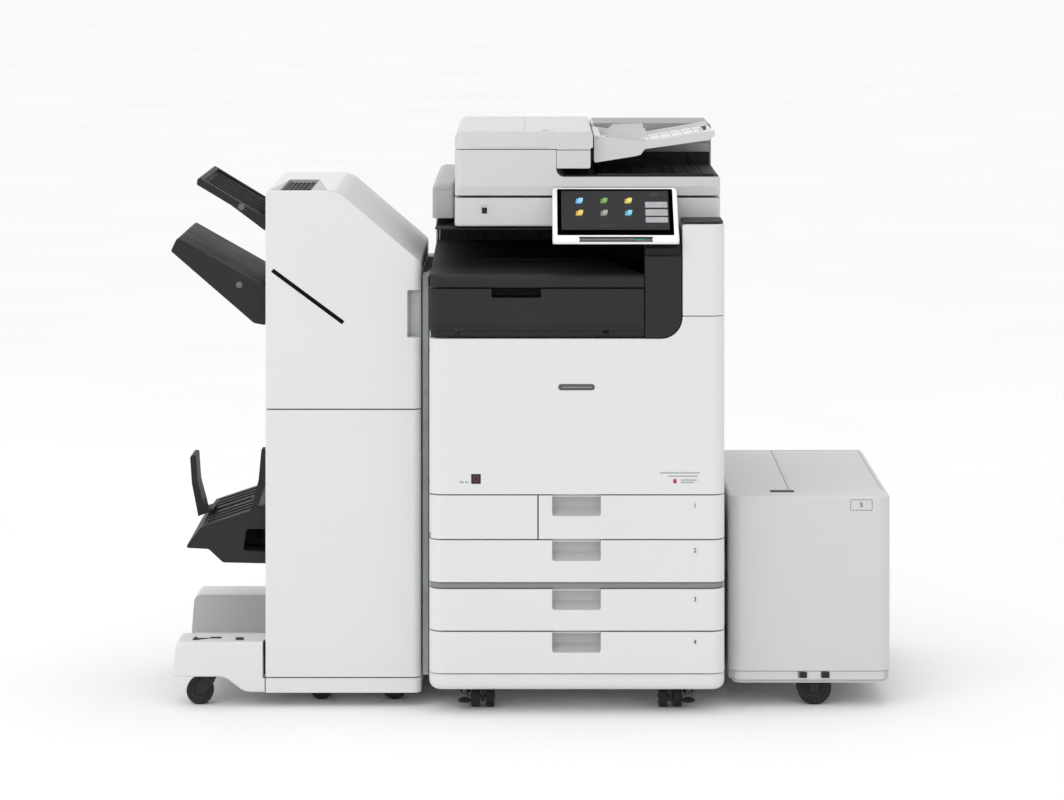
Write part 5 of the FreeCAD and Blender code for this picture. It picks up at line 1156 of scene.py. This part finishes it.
with Piece("bypass_tray_marks", [LIGHT, GRIP], "bypass_tray", "light_grey_cover", "yz") as marks:
    marks.plate(-160, 130, 540, 543, 1.2, 308.2, 309.2)
    marks.plate(-60, 40, 722, 728, 2.5, 307.9, 309.4, bevel=0.5)
    marks.prism(rect(-40, 20, 600, 680, 2, steps=6), 308.0, 308.5, bevel=0.15, mat=1)

with Piece("right_door_latch", [LIGHT, MID], "right_door", "light_grey_cover", "yz") as latch:
    latch.plate(-246, -206, 800, 900, 10, 308.3, 309.3, bevel=0.5)
    latch.plate(-238, -214, 812, 888, 8, 308.9, 309.9, bevel=0.4, mat=1)

with Piece("left_cover_louvres", BLACK, "main_unit", plane="yz") as louvres:
    louvres.row(10, (0, 14), -240, -150, 640, 646, 2.8, -309.1, -308.3)

# ---- side paper deck -------------------------------------------------------
with Piece("deck_side_mark", LIGHT, "paper_deck", "light_grey_cover", "yz") as mark:
    mark.plate(-60, 70, 418, 436, 6, 661.9, 662.15, bevel=0.1)

# Screws of the deck: axis, centres along the other two axes, profile
DECK_SCREWS = (
    ("x", (-150, 270), (120, 400), [(0, 311.0), (3.4, 311.0), (4.4, 311.6), (4.6, 313.0)]),
    ("y", (350, 632), (110, 405), [(0, 346.6), (3.6, 346.6), (4.6, 345.8), (4.9, 343.9)]),
)
with Piece("deck_screws", SCREW, "paper_deck", "screw_steel") as screws:
    for axis, places, heights, profile in DECK_SCREWS:
        for place in places:
            for z in heights:
                screws.lathe(axis, (place, z), profile, segments=20)

with Piece("deck_rear_louvres", BLACK, "paper_deck") as louvres:
    louvres.row(8, (0, 11), 430, 560, 330, 335, 2.4, 343.8, 345.2)

with Piece("deck_lid_details", DECK, "deck_lid", "light_grey_cover", "xy") as details:
    details.plate(640, 648, -190, -120, 2.5, 444.2, 444.9)
    details.plate(459, 466, -170, 300, 1.5, 444.3, 444.75, bevel=0.15)

with Piece("deck_base_slots", BLACK, "paper_deck") as slots:
    for x0, x1 in ((470.6, 485.3), (516.9, 532.7)):
        slots.plate(x0, x1, 62.2, 74.8, 1.6, -286.25, -285.8, bevel=0.1)

with Piece("deck_latch_plate", BLACK, "paper_deck", plane="xy") as plate:
    plate.plate(412.0, 463.0, -236.0, -209.0, 3.0, 444.3, 444.95, bevel=0.2)

# ---- inside, seen when the covers are open ---------------------------------
for number, z in ((2, 290.0), (3, 190.0), (4, 101.0)):
    body = f"cassette_{number}"
    with Piece(body + "_friction_pad", CORK, body, "mid_grey_plastic", "xy") as pad:
        pad.plate(-60, 60, -250, -150, 6, z + 4.0, z + 6.0, bevel=0.4)

with Piece("inner_release_levers", GREEN, "main_unit", "mid_grey_plastic") as levers:
    levers.prism(rect(-200, -176, 640, 700, 6, steps=6), -331.2, -325.2, bevel=0.6)
    levers.prism(rect(124, 143, 580, 650, 6, steps=6), -331.2, -326.8, bevel=0.6)

with Piece("inner_cover_ribs", INNER, "main_unit", "mid_grey_plastic") as ribs:
    for k in range(5):
        x = -250 + k * 60
        ribs.box(x, x + 30, -328.8, -326.8, 500, 503, bevel=0.4)

with Piece("finisher_inner_knobs", GREEN, "finisher", "mid_grey_plastic") as knobs:
    profile = [(0, -258.0), (14.0, -258.0), (16.0, -256.0), (16.0, -244.0), (5.0, -243.0),
               (5.0, -225.0)]
    for z in (300.0, 500.0, 760.0):
        knobs.lathe("y", (-470.0, z), profile, segments=18)


# ---------------------------------------------------------------------------
# stage, lights, camera (metres)
# ---------------------------------------------------------------------------
def floor(half=150.0):
    graph = new_graph("pale_floor")
    cloud = graph.patches(scale=0.8, detail=3.0, lo=0.3, hi=0.7)
    color = graph.mix(cloud, grey(0.92), grey(0.95))
    speck = graph.patches(scale=160.0, detail=3.0, lo=0.4, hi=0.7, end=0.25)
    color = graph.mix(speck, color, grey(0.90))
    height = graph.noise(scale=220.0, detail=3.0)
    normal = graph.bump(height, strength=0.05, distance=0.0005)
    graph.surface(color, rough=0.9, normal=normal, specular=0.05)
    mesh = bpy.data.meshes.new("floor")
    corners = [(-half, -half, 0), (half, -half, 0), (half, half, 0), (-half, half, 0)]
    mesh.from_pydata(corners, [], [(0, 1, 2, 3)])
    mesh.materials.append(graph.owner)
    add_object("floor", mesh)


def softbox(name, place, aim, size, power):
    light = bpy.data.lights.new(name, "AREA")
    light.shape = "RECTANGLE"
    light.size, light.size_y = size
    light.energy = power
    obj = add_object(name, light)
    obj.location = place
    obj.rotation_mode = "QUATERNION"
    obj.rotation_quaternion = (Vector(aim) - Vector(place)).to_track_quat("-Z", "Y")


def studio_world():
    """White to the camera; for lighting, brighter above and toward -X and the front."""
    world = bpy.data.worlds.new("studio")
    bpy.context.scene.world = world
    graph = Graph(world, "ShaderNodeOutputWorld")
    split = graph.add("ShaderNodeSeparateXYZ")
    graph.feed(split.inputs[0], graph.coords["Generated"])
    up, front, left = [graph.calc("MULTIPLY", split.outputs[axis], gain)
                       for axis, gain in (("Z", 0.25), ("Y", -0.10), ("X", -0.20))]
    sloped = graph.calc("ADD", graph.calc("ADD", up, front), left)
    level = graph.calc("ADD", sloped, 0.86)
    backgrounds = []
    for strength in (level, 1.0):
        background = graph.add("ShaderNodeBackground")
        graph.feed(background.inputs["Color"], grey(1.0))
        graph.feed(background.inputs["Strength"], strength)
        backgrounds.append(background.outputs[0])
    path = graph.add("ShaderNodeLightPath")
    mixer = graph.add("ShaderNodeMixShader")
    sources = (path.outputs["Is Camera Ray"], *backgrounds)
    for socket, source in zip(mixer.inputs, sources):
        graph.feed(socket, source)
    graph.feed(graph.output.inputs["Surface"], mixer.outputs[0])


def camera():
    """Level view from the front, shifted down onto the machine."""
    data = bpy.data.cameras.new("camera")
    obj = add_object("camera", data)
    obj.location = to_frame(-93.75, -7361.0, 1652.0)
    obj.rotation_euler = (math.radians(90.0), 0.0, 0.0)
    data.sensor_width = 36.0
    data.lens = 113.68
    data.shift_x = 0.0
    data.shift_y = -0.4483
    data.clip_start, data.clip_end = 0.1, 400.0
    bpy.context.scene.camera = obj


floor()
softbox("key_softbox", place=(-2.6, -3.6, 3.6), aim=(0, 0, 0.7), size=(2.6, 2.0), power=22)
softbox("top_softbox", place=(0.2, 0.2, 4.2), aim=(0, 0, 0), size=(3.0, 2.4), power=14)
studio_world()
bpy.context.scene.view_settings.view_transform = "Standard"
camera()
